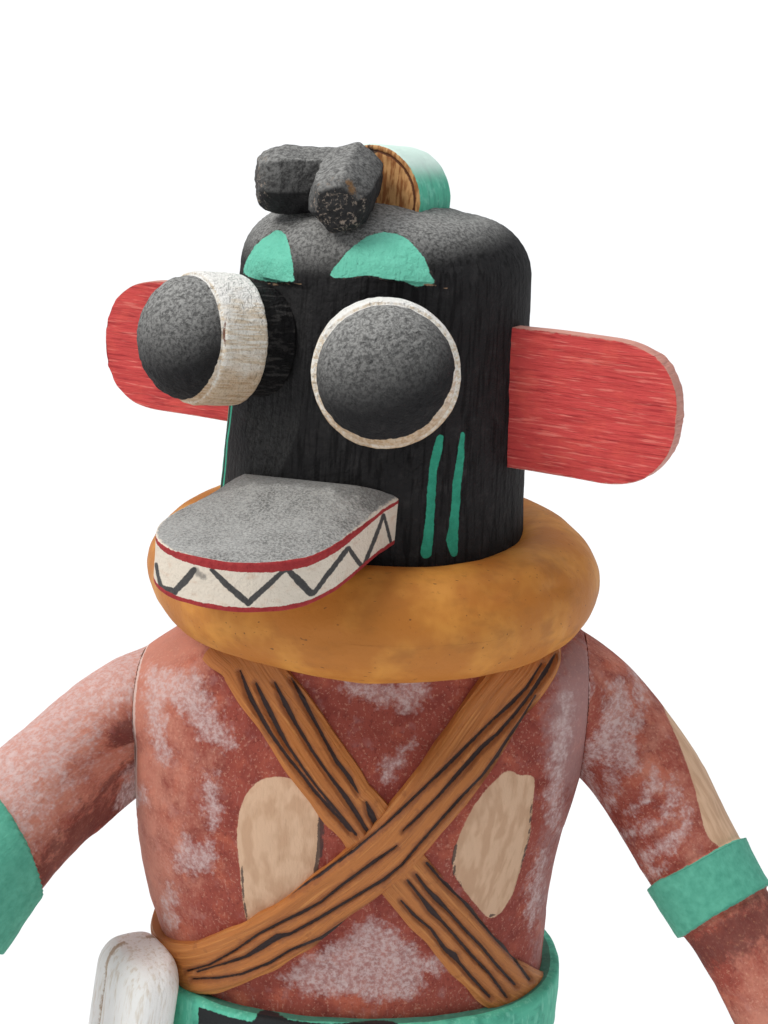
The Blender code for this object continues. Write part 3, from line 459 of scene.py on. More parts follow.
# Paint
class Paint:
    """A wood-and-paint material made of layers. Sizes are in millimetres."""

    def __init__(self, name, colour, roughness=0.7, specular=0.4):
        self.material = bpy.data.materials.new(name)
        self.material.use_nodes = True
        self.tree = self.material.node_tree
        self.shader = self.tree.nodes["Principled BSDF"]
        self.shader.inputs["Roughness"].default_value = roughness
        self.shader.inputs["Specular IOR Level"].default_value = specular
        self.own = self.new("ShaderNodeAttribute", attribute_name="own").outputs["Vector"]
        self.colour = self.flat(colour)
        self.normal = None
        self.seed = 0.0

    def new(self, kind, **settings):
        node = self.tree.nodes.new(kind)
        for key, value in settings.items():
            setattr(node, key, value)
        return node

    def link(self, source, socket):
        if hasattr(source, "is_output"):
            self.tree.links.new(source, socket)
        else:
            socket.default_value = source

    def flat(self, colour):
        node = self.new("ShaderNodeRGB")
        node.outputs[0].default_value = colour
        return node.outputs[0]

    def math(self, operation, a, b=0.0, c=0.0):
        node = self.new("ShaderNodeMath", operation=operation)
        for value, socket in zip((a, b, c), node.inputs):
            self.link(value, socket)
        return node.outputs[0]

    def layer(self, name):
        """A value stored on the surface under a name."""
        return self.new("ShaderNodeAttribute", attribute_name=name).outputs["Fac"]

    def noise(self, size, detail=2.0, rough=0.55, warp=0.0):
        """Noise between about 0.2 and 0.8. Size is one number, or one for each own axis."""
        if isinstance(size, (int, float)):
            size = (size, size, size)
        self.seed += 7.3
        move = self.new("ShaderNodeVectorMath", operation="MULTIPLY_ADD")
        self.link(self.own, move.inputs[0])
        move.inputs[1].default_value = [1.0 / s for s in size]
        move.inputs[2].default_value = (self.seed, -self.seed * 0.6, self.seed * 1.7)
        node = self.new("ShaderNodeTexNoise")
        node.inputs["Scale"].default_value = 1.0
        node.inputs["Detail"].default_value = detail
        node.inputs["Roughness"].default_value = rough
        node.inputs["Distortion"].default_value = warp
        self.link(move.outputs[0], node.inputs["Vector"])
        return node.outputs["Fac"]

    def between(self, value, low, high):
        """0 below low, 1 above high and smooth between them."""
        node = self.new("ShaderNodeMapRange", interpolation_type="SMOOTHSTEP")
        self.link(value, node.inputs["Value"])
        node.inputs["From Min"].default_value = low
        node.inputs["From Max"].default_value = high
        return node.outputs["Result"]

    def ragged(self, name, edge=0.08, wobble=0.25, size=0.9, size_fine=0.35):
        """The mask of a painted mark with a brushed, uneven edge."""
        coarse = self.math("MULTIPLY", self.math("SUBTRACT", self.noise(size), 0.5), 2 * wobble)
        fine = self.math("MULTIPLY", self.math("SUBTRACT", self.noise(size_fine), 0.5), wobble)
        moved = self.math("ADD", self.layer(name), self.math("ADD", coarse, fine))
        return self.between(moved, -edge, edge)

    def mixed(self, mask, a, b):
        """The first colour where the mask is 0 and the second where it is 1."""
        node = self.new("ShaderNodeMix", data_type="RGBA")
        self.link(mask, node.inputs["Factor"])
        self.link(a, node.inputs["A"])
        self.link(b, node.inputs["B"])
        return node.outputs["Result"]

    def over(self, mask, colour):
        """Lays a colour over what is there, where the mask is 1."""
        self.colour = self.mixed(mask, self.colour, colour)
        return self

    def thin_layer(self, name, colour, amount, *edge):
        """Lays a thin colour over a painted mark; its edge is given as for ragged."""
        return self.over(self.math("MULTIPLY", self.ragged(name, *edge), amount), colour)

    def mottle(self, colour, size, low=0.45, high=0.65, most=1.0, detail=3.0, rough=0.6):
        """Lays patches of a colour over what is there."""
        mask = self.between(self.noise(size, detail, rough), low, high)
        return self.over(self.math("MULTIPLY", mask, most), colour)

    def relief(self, height, amount):
        """Raises the surface by a height times an amount in millimetres."""
        node = self.new("ShaderNodeBump")
        node.inputs["Strength"].default_value = 1.0
        node.inputs["Distance"].default_value = amount * MM
        self.link(height, node.inputs["Height"])
        if self.normal:
            self.link(self.normal, node.inputs["Normal"])
        self.normal = node.outputs["Normal"]
        return self

    def done(self):
        self.link(self.colour, self.shader.inputs["Base Color"])
        self.link(self.normal, self.shader.inputs["Normal"])
        return self.material


def stipple(paint, amount=0.13, size=0.5):
    """The dabbed, gritty skin of thick matt paint."""
    paint.relief(paint.noise(size, 2.0, 0.6), amount)
    paint.relief(paint.noise(size * 2.6, 2.0, 0.5), amount * 1.4)
    return paint


def black_paint(name, size=0.5, amount=0.14, grain=False, dust_and_sheen=0.8, low=0.35, high=1.05):
    """Matt black, dabbed on, greyed on what faces upwards by dusty specks and a painted sheen."""
    paint = Paint(name, BLACK, roughness=0.8, specular=0.18)
    paint.mottle(BLACK_GREY, 2.6, 0.5, 0.75, 0.35)
    if grain:
        paint.mottle(rgb(14, 13, 14), (0.8, 0.8, 9.0), 0.48, 0.62, 0.8)
        paint.relief(paint.noise((0.55, 0.55, 7.0), 2.0, 0.5), 0.16)
    speck = paint.between(paint.noise(size, 3.0, 0.75), 0.37, 0.61)
    # Dusty specks and painted sheen: black that faces upwards is laid over with light grey
    worn = paint.math("MULTIPLY", paint.between(paint.layer("up"), low, high), dust_and_sheen)
    paint.over(paint.math("MULTIPLY", worn, paint.math("MULTIPLY_ADD", speck, 0.62, 0.38)), DUST_AND_SHEEN_GREY)
    paint.mottle(rgb(24, 23, 24), size * 1.5, 0.60, 0.70, 0.45)
    return stipple(paint, amount, size)


def head_material():
    paint = black_paint("head_paint", 0.55, 0.26, grain=True, dust_and_sheen=0.84, low=0.40, high=1.0)
    green = paint.mixed(paint.noise(2.2, 3.0), TURQUOISE_DARK, TURQUOISE_PALE)
    green = paint.mixed(0.6, green, rgb(120, 216, 188))
    rim = paint.between(paint.math("ADD", paint.layer("moon"), 0.28), -0.12, 0.12)
    paint.over(paint.math("MULTIPLY", rim, paint.between(paint.noise(0.7), 0.48, 0.66)),
               rgb(74, 66, 60))
    paint.over(paint.ragged("moon", 0.07, 0.22), green)
    stripe = paint.mixed(paint.noise(1.6, 2.0), rgb(36, 122, 98), rgb(64, 176, 146))
    paint.over(paint.ragged("stripe", 0.06, 0.16, 1.4), stripe)
    edge = paint.math("MULTIPLY", paint.ragged("ledge", 0.05, 0.14, 1.2),
                      paint.between(paint.noise((1.6, 1.6, 1.6)), 0.40, 0.52))
    paint.over(edge, rgb(160, 130, 104))
    return paint.done()


def eye_material():
    paint = black_paint("eye_paint", 0.6, 0.4, dust_and_sheen=1.0, low=-0.1, high=1.1)
    paint.relief(paint.noise(0.8, 3.0, 0.7), 0.5)
    tan = paint.mixed(paint.between(paint.noise((0.5, 0.5, 5.0), 3.0), 0.42, 0.62),
                      rgb(208, 186, 160), rgb(190, 160, 128))
    streak = paint.mixed(paint.between(paint.noise((0.5, 0.5, 6.0), 3.0), 0.42, 0.60),
                         rgb(240, 235, 226), rgb(220, 202, 178))
    # Painted shade and painted light on the white band: it turns tan where it faces down, as painted
    # shade over streaks of bare wood, and bright white where it faces up, as painted light
    bare = paint.between(paint.math("ADD", paint.layer("shade"), paint.noise(2.5)), 0.4, 1.1)
    lit_above = paint.between(paint.math("ADD", paint.layer("shade"), paint.noise(2.5)), 0.1, -0.3)
    streak = paint.mixed(lit_above, paint.mixed(bare, streak, tan), rgb(244, 241, 236))
    paint.over(paint.ragged("white", 0.05, 0.2, 0.7), streak)
    paint.over(paint.ragged("line", 0.1, 0.16), rgb(120, 82, 66))
    streaks = paint.mixed(paint.between(paint.noise((0.8, 0.8, 3.0), 3.0), 0.5, 0.64),
                          rgb(24, 23, 24), rgb(60, 58, 57))
    paint.over(paint.ragged("neck", 0.08, 0.3), streaks)
    return paint.done()


def ear_material():
    paint = Paint("ear_paint", EAR_RED, roughness=0.66, specular=0.3)
    paint.mottle(EAR_DEEP, (9.0, 5.0, 0.55), 0.5, 0.68, 0.75)
    # Lighter streaks: painted highlights on the ridges
    paint.mottle(rgb(236, 132, 120), (6.0, 4.0, 0.42), 0.54, 0.68, 0.7)
    paint.mottle(rgb(226, 92, 78), 4.0, 0.45, 0.7, 0.4)
    rim = paint.mixed(paint.noise((3.0, 3.0, 1.0)), EAR_RIM, rgb(214, 158, 142))
    paint.over(paint.ragged("rim", 0.1, 0.25), rim)
    paint.relief(paint.noise((6.0, 5.0, 0.5), 3.0, 0.6), 0.5)
    paint.relief(paint.noise((14.0, 9.0, 1.1), 2.0, 0.5), 0.25)
    paint.relief(paint.noise(0.5, 2.0), 0.05)
    return paint.done()


def snout_material():
    paint = black_paint("snout_paint", 0.4, 0.2, dust_and_sheen=1.0, low=-0.3, high=0.75)
    paint.mottle(rgb(204, 203, 200), 7.0, 0.30, 0.62, 0.3)
    # Painted shadow: the snout's top is darkened near the head, where the eye plug's shadow falls
    paint.thin_layer("back", rgb(60, 59, 58), 0.42, 1.5, 3.0, 2.0)
    cream = paint.mixed(paint.between(paint.noise((2.5, 2.5, 1.2), 3.0), 0.5, 0.8), CREAM,
                        rgb(212, 190, 170))
    paint.over(paint.ragged("side", 0.05, 0.1), cream)
    paint.thin_layer("smudge", rgb(110, 108, 104), 0.7, 0.3, 0.5)
    paint.over(paint.ragged("zigzag", 0.07, 0.14, 0.8),
               paint.mixed(paint.noise(0.8), rgb(50, 50, 52), rgb(92, 90, 88)))
    paint.over(paint.ragged("border", 0.05, 0.16, 0.9),
               paint.mixed(paint.noise(1.0), rgb(136, 34, 40), rgb(178, 66, 66)))
    return paint.done()


def knob_material():
    paint = black_paint("knob_paint", 0.7, 0.45, dust_and_sheen=0.75, low=-0.1, high=1.1)
    wear = paint.math("MULTIPLY", paint.between(paint.layer("wear"), 0.2, 0.9),
                      paint.between(paint.noise(0.7, 3.0, 0.7), 0.54, 0.66))
    paint.over(wear, paint.mixed(paint.noise(0.5), rgb(108, 92, 80), rgb(152, 142, 132)))
    paint.thin_layer("gold", rgb(138, 100, 58), 0.7, 0.3, 0.9, 1.0)
    return paint.done()


def roll_material():
    paint = Paint("roll_paint", TURQUOISE, roughness=0.75, specular=0.3)
    paint.mottle(TURQUOISE_DARK, (5.0, 1.2, 5.0), 0.45, 0.7, 0.5)
    paint.mottle(TURQUOISE_PALE, 2.0, 0.5, 0.7, 0.5)
    # Painted sheen: the roll is laid over with near white where it faces up
    paint.over(paint.math("MULTIPLY", paint.between(paint.layer("fade"), 0.0, 0.8), 0.85),
               rgb(228, 244, 236))
    face = paint.mixed(paint.between(paint.noise((0.7, 3.0, 3.5), 3.0), 0.42, 0.6),
                       rgb(212, 160, 104), rgb(156, 98, 54))
    paint.over(paint.ragged("face", 0.05, 0.12), face)
    paint.over(paint.ragged("groove", 0.08, 0.2, 1.2), rgb(96, 56, 34))
    # Painted shade: the small hole in the front face is painted black
    paint.over(paint.ragged("soot", 0.3, 1.0, 1.4), BLACK)
    return stipple(paint, 0.07, 0.5).done()


def ruff_material():
    paint = Paint("ruff_paint", OCHRE, roughness=0.6, specular=0.35)
    paint.mottle(rgb(214, 148, 64), 9.0, 0.40, 0.70, 0.75)
    paint.mottle(OCHRE_DARK, (7.0, 7.0, 3.0), 0.5, 0.75, 0.5)
    paint.mottle(rgb(148, 88, 36), 0.8, 0.64, 0.72, 0.35)
    paint.mottle(rgb(96, 62, 30), (1.6, 0.5, 0.7), 0.73, 0.76, 0.8, 1.0)
    paint.over(paint.ragged("bleed", 0.4, 1.2, 1.2), rgb(72, 50, 30))
    paint.relief(paint.noise(3.0, 3.0), 0.14)
    paint.relief(paint.noise(0.6, 2.0), 0.07)
    return paint.done()


def skin_material(name, arm=False):
    """Dull red-brown body paint, rubbed lighter in patches, with painted light, painted sheen and
    painted shade laid over it.
    """
    paint = Paint(name, RED_BROWN, roughness=0.76, specular=0.25)
    paint.mottle(RED_DEEP, 5.0, 0.45, 0.7, 0.7)
    paint.mottle(RED_ORANGE, 6.0, 0.5, 0.72, 0.7)
    paint.mottle(rgb(108, 42, 38), 0.7, 0.56, 0.68, 0.5)
    paint.mottle(rgb(188, 136, 124), (0.6, 0.6, 2.6), 0.6, 0.74, 0.4)
    paint.mottle(rgb(170, 128, 126), 3.4, 0.56, 0.74, 0.35)
    # Painted light: lighter where the surface faces the light; on the left arm also lighter paint
    # towards the fist
    paint.thin_layer("pale", rgb(216, 150, 128), 0.6, 2.2, 3.0, 4.0, 0.5)
    paint.mottle(rgb(206, 152, 130), 0.5, 0.57, 0.66, 0.4)
    if arm:
        # Painted shade: a dark band along the right arm's shaded side, and one just below the left
        # armband
        paint.thin_layer("dusk", rgb(96, 50, 46), 0.72, 1.2, 2.6, 1.6, 0.4)
        paint.mottle(rgb(176, 120, 92), 0.6, 0.6, 0.68, 0.35)
    # Painted sheen: hazy grey on the left shoulder and flank
    paint.thin_layer("haze", rgb(176, 146, 144), 0.6, 2.2, 2.6, 2.0, 0.6)
    rubbed = paint.mixed(paint.noise(1.3, 2.0), rgb(184, 152, 148), rgb(222, 204, 202))
    strokes = paint.math("MULTIPLY_ADD", paint.between(paint.noise(0.8, 4.0, 0.7), 0.38, 0.62),
                         0.5, 0.3)
    # Rubbed, lighter patches; on the right arm they include a painted highlight where it faces up
    paint.over(paint.math("MULTIPLY", paint.ragged("rub", 1.0, 2.4, 1.8, 0.5), strokes), rubbed)
    tan = paint.mixed(paint.between(paint.noise((3.0, 1.0, 6.0)), 0.4, 0.6), TAN,
                      rgb(212, 176, 146))
    paint.over(paint.ragged("tan", 0.1, 0.2, 1.5), tan)
    paint.thin_layer("line", rgb(66, 54, 52), 0.85, 0.08, 0.2)
    paint.thin_layer("seam", rgb(222, 208, 200), 0.6, 0.08, 0.2)
    if arm:
        green = paint.mixed(paint.noise(1.3, 3.0), rgb(58, 138, 116), rgb(108, 190, 164))
        paint.over(paint.ragged("band", 0.05, 0.16), green)
    paint.relief(paint.noise((0.5, 0.5, 1.6), 3.0, 0.6), 0.14)
    paint.relief(paint.noise(1.9, 2.0), 0.12)
    return paint.done()


def strap_material():
    paint = Paint("strap_paint", STRAP, roughness=0.58, specular=0.4)
    paint.mottle(STRAP_DARK, (0.7, 22.0, 0.7), 0.44, 0.72, 0.5)
    paint.mottle(rgb(212, 144, 78), (0.45, 14.0, 0.45), 0.52, 0.72, 0.5)
    paint.mottle(rgb(140, 78, 36), 2.0, 0.6, 0.74, 0.5)
    paint.thin_layer("scorch", rgb(120, 66, 40), 0.55, 0.35, 0.5, 2.0)
    paint.over(paint.ragged("burnt", 0.08, 0.10, 1.1), BURNT)
    paint.relief(paint.noise((0.4, 9.0, 0.4), 3.0), 0.3)
    paint.relief(paint.noise(0.6, 2.0), 0.05)
    return paint.done()


def belt_material():
    paint = Paint("belt_paint", TURQUOISE, roughness=0.74, specular=0.3)
    paint.mottle(TURQUOISE_DARK, 3.0, 0.46, 0.7, 0.6)
    paint.mottle(TURQUOISE_PALE, (1.0, 1.0, 4.0), 0.5, 0.7, 0.5)
    paint.over(paint.ragged("black", 0.1, 0.25), rgb(34, 36, 38))
    # Painted shade where the belt's upper edge turns in to the torso
    paint.thin_layer("dusk", rgb(60, 44, 44), 0.6, 0.6, 1.0)
    return stipple(paint, 0.07, 0.55).done()


def kilt_material():
    paint = Paint("kilt_paint", CREAM, roughness=0.75, specular=0.3)
    paint.mottle(rgb(206, 190, 166), (1.0, 1.0, 9.0), 0.45, 0.7, 0.7)
    paint.mottle(rgb(188, 160, 128), 3.0, 0.58, 0.74, 0.4)
    paint.over(paint.ragged("hem", 0.08, 0.18), rgb(52, 48, 46))
    paint.over(paint.ragged("hem_red", 0.08, 0.18), rgb(150, 52, 48))
    paint.relief(paint.noise((0.5, 0.5, 6.0), 3.0), 0.12)
    return stipple(paint, 0.05, 0.5).done()


def sash_material():
    paint = Paint("sash_paint", WHITE, roughness=0.72, specular=0.3)
    paint.mottle(rgb(214, 200, 180), (0.8, 0.8, 6.0), 0.48, 0.68, 0.6)
    # Brown along the groove and the outer edge, and between the fringe's strands
    paint.thin_layer("worn", rgb(170, 134, 96), 0.75, 0.25, 0.6, 1.0)
    paint.relief(paint.noise((0.5, 0.5, 6.0), 3.0), 0.14)
    return stipple(paint, 0.05, 0.5).done()


def moccasin_material():
    paint = Paint("moccasin_paint", rgb(86, 176, 150), roughness=0.75, specular=0.3)
    paint.mottle(TURQUOISE_DARK, 2.4, 0.46, 0.7, 0.6)
    paint.over(paint.ragged("sole", 0.08, 0.15), rgb(150, 104, 66))
    return stipple(paint, 0.07, 0.5).done()


def wood_material():
    paint = Paint("base_bare_wood", rgb(186, 142, 96), roughness=0.62, specular=0.35)
    paint.mottle(rgb(150, 104, 64), (26.0, 1.1, 1.1), 0.46, 0.62, 0.8, 3.0)
    paint.mottle(rgb(214, 176, 128), (18.0, 2.4, 2.4), 0.5, 0.72, 0.6)
    paint.mottle(rgb(112, 74, 44), (5.0, 0.35, 0.35), 0.64, 0.7, 0.6)
    paint.relief(paint.noise((16.0, 0.5, 0.5), 3.0), 0.14)
    return stipple(paint, 0.04, 0.5).done()


# Head and its fittings
MOONS = [
    [(243.6, 271.8), (247, 259), (256, 245), (266.8, 236), (277.5, 229.8), (284.6, 234.3),
     (289, 245), (291.8, 261), (293.6, 273.6), (294.5, 280.7), (286.4, 281.6), (270.4, 281.6),
     (254.3, 278.9), (245.4, 274.5)],
    [(330.2, 273.6), (338.2, 262.9), (347.1, 252.1), (357.9, 243.2), (368.6, 236.1),
     (382.9, 232.5), (397.1, 234.3), (407.9, 239.6), (416.8, 248.6), (423.9, 257.5),
     (427.5, 266.4), (431.1, 275.4), (434.6, 282.5), (425.7, 285.2), (416.8, 286.1),
     (404.3, 281.6), (386.4, 278.9), (368.6, 275.4), (350.7, 277.1), (340, 278),
     (332.9, 277.1)]]
STRIPES = [
    [(440, 438, 3.6), (437, 452, 4.6), (433, 470, 4.0), (431, 500, 4.2), (430, 520, 4.2),
     (428, 540, 5.2), (426, 553, 5.4)],
    [(462.8, 434, 2.0), (461.5, 446, 3.0), (460, 461, 3.6), (457, 482, 4.2), (455.5, 505, 4.2),
     (454, 525, 4.6), (452, 540, 6.0), (454, 553, 3.6)]]
SIDE_STRIPES = (-49.0, -58.0)
SIDE_STRIPE_HALF = 0.65
SIDE_STRIPE_ENDS = (3.5, 22.0)
LEDGES = ((-17.0, 43.8), (33.6, 45.8))
LEDGE_DEPTH = 0.9
# The way a surface faces to take the most dusty specks and painted sheen on its black
DUST_AND_SHEEN_FROM = (-0.30, -0.22, 0.93)
LEDGE_LINES = [[(250, 284, .6), (262, 284.5, 1.2), (284, 284, 1.0), (302, 284, .5)],
               [(420, 283, .5), (432, 285.5, 1.4), (447, 288, .8)]]
EYE_LINE = [[(226, 318, .5), (224, 332, 1.3), (225, 346, .5)]]
EYE_WHITE_TURNS = {-1: -90.0, 1: -58.0}
EYE_WHITE_REACH = {-1: 1.05, 1: 3.8}
EAR_ROOT, EAR_TIP, EAR_HALF_HEIGHT, EAR_HALF_THICK = 22.4, 12.0, 11.4, 1.8
EAR_NECKS = {-1: 42.0, 1: 40.6}
EAR_BACK, EAR_HEIGHT, EAR_CURVE = -0.4, 27.0, 2 / 2.4


def lit(outward):
    """How much a surface faces up and to the figure's right, where dusty specks and a painted sheen
    grey it.
    """
    return outward @ np.array(DUST_AND_SHEEN_FROM)


def head_profile():
    """Radius and height of the head from its foot's centre up to the crown's centre."""
    flat = HEAD_RADII[1] - HEAD_ROUNDING
    path = [(3.0, 0.0), (HEAD_RADII[0] - 0.5, 0.0), (HEAD_RADII[0], 0.5)]
    path += [(flat + HEAD_ROUNDING * math.cos(a), HEAD_WALL_HEIGHT + HEAD_ROUNDING * math.sin(a))
             for a in np.linspace(0.0, PI / 2, 24)]
    path += [(flat * s, HEAD_HEIGHT - CROWN_RISE * s * s) for s in np.linspace(0.95, 0.02, 16)]
    return evenly(path, 0.46)


def make_head():
    """Rows run from the foot's centre up the wall, with its two brow ledges, to the crown."""
    radius, height, turn = lattice(head_profile(), around(340))
    for centre, top in LEDGES:
        share = step(top + 0.25, top - 0.15, height) * step(9.0, 26.0, height)
        wall = np.interp(height, (0.0, HEAD_WALL_HEIGHT), HEAD_RADII) - LEDGE_DEPTH * share
        flat = wall / np.cos(np.radians(np.clip(turn - centre, -60, 60)))
        radius = np.where((share > 0.01) & (radius > flat), flat, radius)
    angle = np.radians(turn)
    local = np.stack([radius * np.sin(angle), -radius * np.cos(angle), height], -1)
    outward = normals(local)
    on_top = step(43.0, 49.0, height)
    local = raised(local, outward, bumps(
        local, (0.16, 11.0, 3), (0.07, 4.0, 4), ((1 - on_top) * 0.05, (1.2, 1.2, 12.0), 5),
        (0.03 + 0.05 * on_top, 0.9, 6, 2)))
    world, out = from_head(local), outward @ HEAD_TURN.T
    stripe = marks(world, out, strokes=STRIPES)
    for centre in SIDE_STRIPES:
        wobble = 1.6 * noise(np.stack([height, height * 0, height * 0 + centre], -1), 7.0, 8)
        line = SIDE_STRIPE_HALF - np.abs(25.5 * np.radians(turn - centre + wobble))
        ends = np.minimum(height - SIDE_STRIPE_ENDS[0], SIDE_STRIPE_ENDS[1] - height)
        stripe = np.maximum(stripe, np.minimum(line, ends))
    Shape().add(world, own=local, moon=marks(world, out, outlines=MOONS), stripe=stripe,
                ledge=marks(world, out, strokes=LEDGE_LINES), up=lit(out)).piece(
        "head_case", head_material(), "head", slot="head_black")


def eye_axes(side):
    """Where a plug's own frame starts in the head, and its three axes there."""
    spread, tilt = math.radians(side * EYE_SPREAD), math.radians(EYE_TILT)
    flat = np.array([math.sin(spread), -math.cos(spread), 0.0])
    axis = flat * math.cos(tilt) + (0.0, 0.0, math.sin(tilt))
    across = unit(np.cross([0.0, 0.0, 1.0], axis))
    start = np.array([0.0, 0.0, EYE_HEIGHTS[side]]) + (flat - axis) * EYE_REAR
    return start, (across, np.cross(axis, across), axis)


def make_eye(name, side):
    """One plug: neck, band and dome. Rows run from inside the head out to the dome's pole."""
    size, neck = EYE_SIZES[side], EYE_NECK_RADIUS
    dome, band = EYE_DOME_RADIUS * size, EYE_BAND_RADIUS * size
    rear, front = EYE_REAR, EYE_REAR + EYE_BAND_LENGTH
    path = [(neck, rear - 5.5), (neck, rear), (band - 0.6, rear), (band - 0.1, rear + 0.35),
            (band, rear + 0.8), (band, front - 0.7), (band - 0.15, front - 0.15),
            (band - 0.4, front), (dome + 0.02, front + 0.05)]
    path += [(dome * math.cos(a), front + 0.1 + EYE_DOME_RISE * math.sin(a))
             for a in np.linspace(0.04, PI / 2 - 0.02, 40)]
    radius, along, turn = lattice(evenly(path, 0.3), full_turn(210))
    own = np.stack([radius * np.cos(turn), radius * np.sin(turn), along], -1)
    outward = normals(own)
    on_dome = step(front - 0.1, front + 0.5, along)
    own = raised(own, outward, bumps(
        own, (0.10, 5.0, 11 + side), (0.04, 1.8, 12 + side), (on_dome * 0.13, 1.0, 13 + side),
        (on_dome * 0.07, 0.55, 14 + side), ((1 - on_dome) * 0.06, (0.8, 0.8, 4.0), 15 + side)))
    start, axes = eye_axes(side)
    world, out = from_head(start + drawn_on(own, axes)), drawn_on(outward, axes) @ HEAD_TURN.T
    low = step(-0.3, 1.0, np.cos(turn - math.radians(EYE_WHITE_TURNS[side])))
    edge = 0.12 + EYE_WHITE_REACH[side] * low + 0.15 * noise(own, 3.0, 17)
    white = np.where(along > front + 0.06, edge - (along - front), 1.0)
    black = 0.2 - (along - rear) + np.where(radius < neck + 0.2, 0.3, 0.0)
    # shade is how far the surface faces down; it sets the band's painted shade and painted light
    Shape().add(world, own=own, white=white, neck=black, up=lit(out), shade=-out[..., 2],
                line=marks(world, out, strokes=EYE_LINE)).piece(
        name + "_plug", eye_material(), name, slot="eye_cream")


def make_ear(name, side):
    """A paddle lofted from its root to its tip; its rim is the narrow face all round it."""
    neck = EAR_NECKS[side]
    phi = np.linspace(0.0, PI / 2 - 0.01, 60)
    places = np.append(np.linspace(EAR_ROOT, neck, 46)[:-1],
                       neck + EAR_TIP * np.sin(phi) ** EAR_CURVE)[:, None]
    halves = EAR_HALF_HEIGHT * np.append(np.ones(45), np.cos(phi) ** EAR_CURVE)[:, None]
    face, edge = np.linspace(-1.0, 1.0, 70), np.linspace(-1.0, 1.0, 12)[1:-1]
    flat, end = np.ones(len(face)), np.ones(len(edge))
    across = np.concatenate([face, end, -face, -end])
    deep = np.concatenate([-flat, edge, flat, -edge])
    near_rim = np.maximum(np.abs(across) - 0.985, 0) / 0.015
    thick = deep * EAR_HALF_THICK * (1 - 0.035 * near_rim)
    up = across * halves
    local = np.stack([side * places + 0 * up, EAR_BACK + thick + 0 * up, EAR_HEIGHT + up], -1)
    if side < 0:
        local, deep, across = local[:, ::-1], deep[::-1], across[::-1]
    on_face = np.abs(deep) > 0.99
    inside = np.minimum(halves * (1 - np.abs(across)), neck + EAR_TIP - places)
    relief = bumps(local, (0.16, (16.0, 9.0, 1.1), 21 + side), (0.09, (6.0, 9.0, 0.7), 22 + side),
                   (0.12, 9.0, 23)) * np.where(on_face, 1.0, 0.25)
    Shape().add(from_head(raised(local, normals(local), relief)), own=local,
                rim=np.where(on_face, 0.1 - inside, 0.8)).piece(
        name + "_paddle", ear_material(), name, slot="ear_red")


SNOUT_HALF, SNOUT_NECK, SNOUT_ROUND, SNOUT_THICK = 14.9, 37.5, 16.5, 7.4
SNOUT_ROOT, SNOUT_MIDDLE, SNOUT_HEIGHT, SNOUT_DROOP = 20.0, 38.0, 9.6, 5.4
SNOUT_ROOT_RISE, SNOUT_RISE_LENGTH, SNOUT_LEFT_LIFT = 5.0, 20.0, 2.0
ZIGZAG_START = 17.2
ZIGZAG = [
    [(156, 564, 1.0), (161, 587, 1.6)], [(161, 587, 1.8), (175, 592, 2.4)],
    [(194, 570, 2.4), (186, 580, 3.2), (175, 591, 2.6)],
    [(212, 570, 1.6), (228, 586, 2.6), (248, 603, 2.6)],
    [(248, 603, 2.4), (266, 587, 2.2), (284, 570, 1.8)],
    [(288, 570, 2.0), (299, 581, 3.4), (310, 593, 3.0)],
    [(314, 593, 1.8), (331, 571, 2.0), (348, 548, 1.8)],
    [(348, 548, 1.4), (356, 559, 1.8), (363, 568, 1.6)],
    [(363, 568, 1.4), (374, 541, 1.5), (384, 515, 1.3)], [(384, 515, 1.0), (392, 546, 1.0)]]
SMUDGE = [[(196, 571, 3.0), (204, 578, 2.4)]]
HIDDEN_ZIGZAG = [[(at, 1.0 + 5.0 * (n % 2), 0.4), (at + 4.4, 6.0 - 5.0 * (n % 2), 0.45)]
                 for n, at in enumerate(np.arange(49.0, 80.0, 4.6))]


def snout_outline():
    """The snout seen from above, from its right end at the head round to its left one."""
    path = [(-SNOUT_HALF, -SNOUT_ROOT), (-SNOUT_HALF, -SNOUT_NECK)]
    for a in np.linspace(PI, 0.0, 160)[1:-1]:
        c, s = math.cos(a), math.sin(a)
        path.append((SNOUT_HALF * math.copysign(abs(c) ** 0.92, c),
                     -SNOUT_NECK - SNOUT_ROUND * s ** 0.92))
    path += [(SNOUT_HALF, -SNOUT_NECK), (SNOUT_HALF, -SNOUT_ROOT)]
    return evenly(path, 0.3)


def snout_rows():
    """Shares of the outline and rises, from the underside's middle up to the crown's."""
    foot = -SNOUT_THICK
    rows = [(s, foot) for s in np.linspace(0.1, 0.97, 14)]
    rows += [(0.99, foot + 0.1), (1.0, foot + 0.3)]
    rows += [(1.0, z) for z in np.linspace(foot + 0.6, -0.5, 24)]
    rows += [(1.0, -0.25), (0.995, -0.05)]
    rows += [(s, np.interp(1 - s, (0, 0.15, 0.4, 0.7, 1), (0, 0.44, 0.88, 1.1, 1.14)))
             for s in np.linspace(0.985, 0.02, 46)]
    rows = np.array(rows)
    return rows[:, 0:1], rows[:, 1:2]


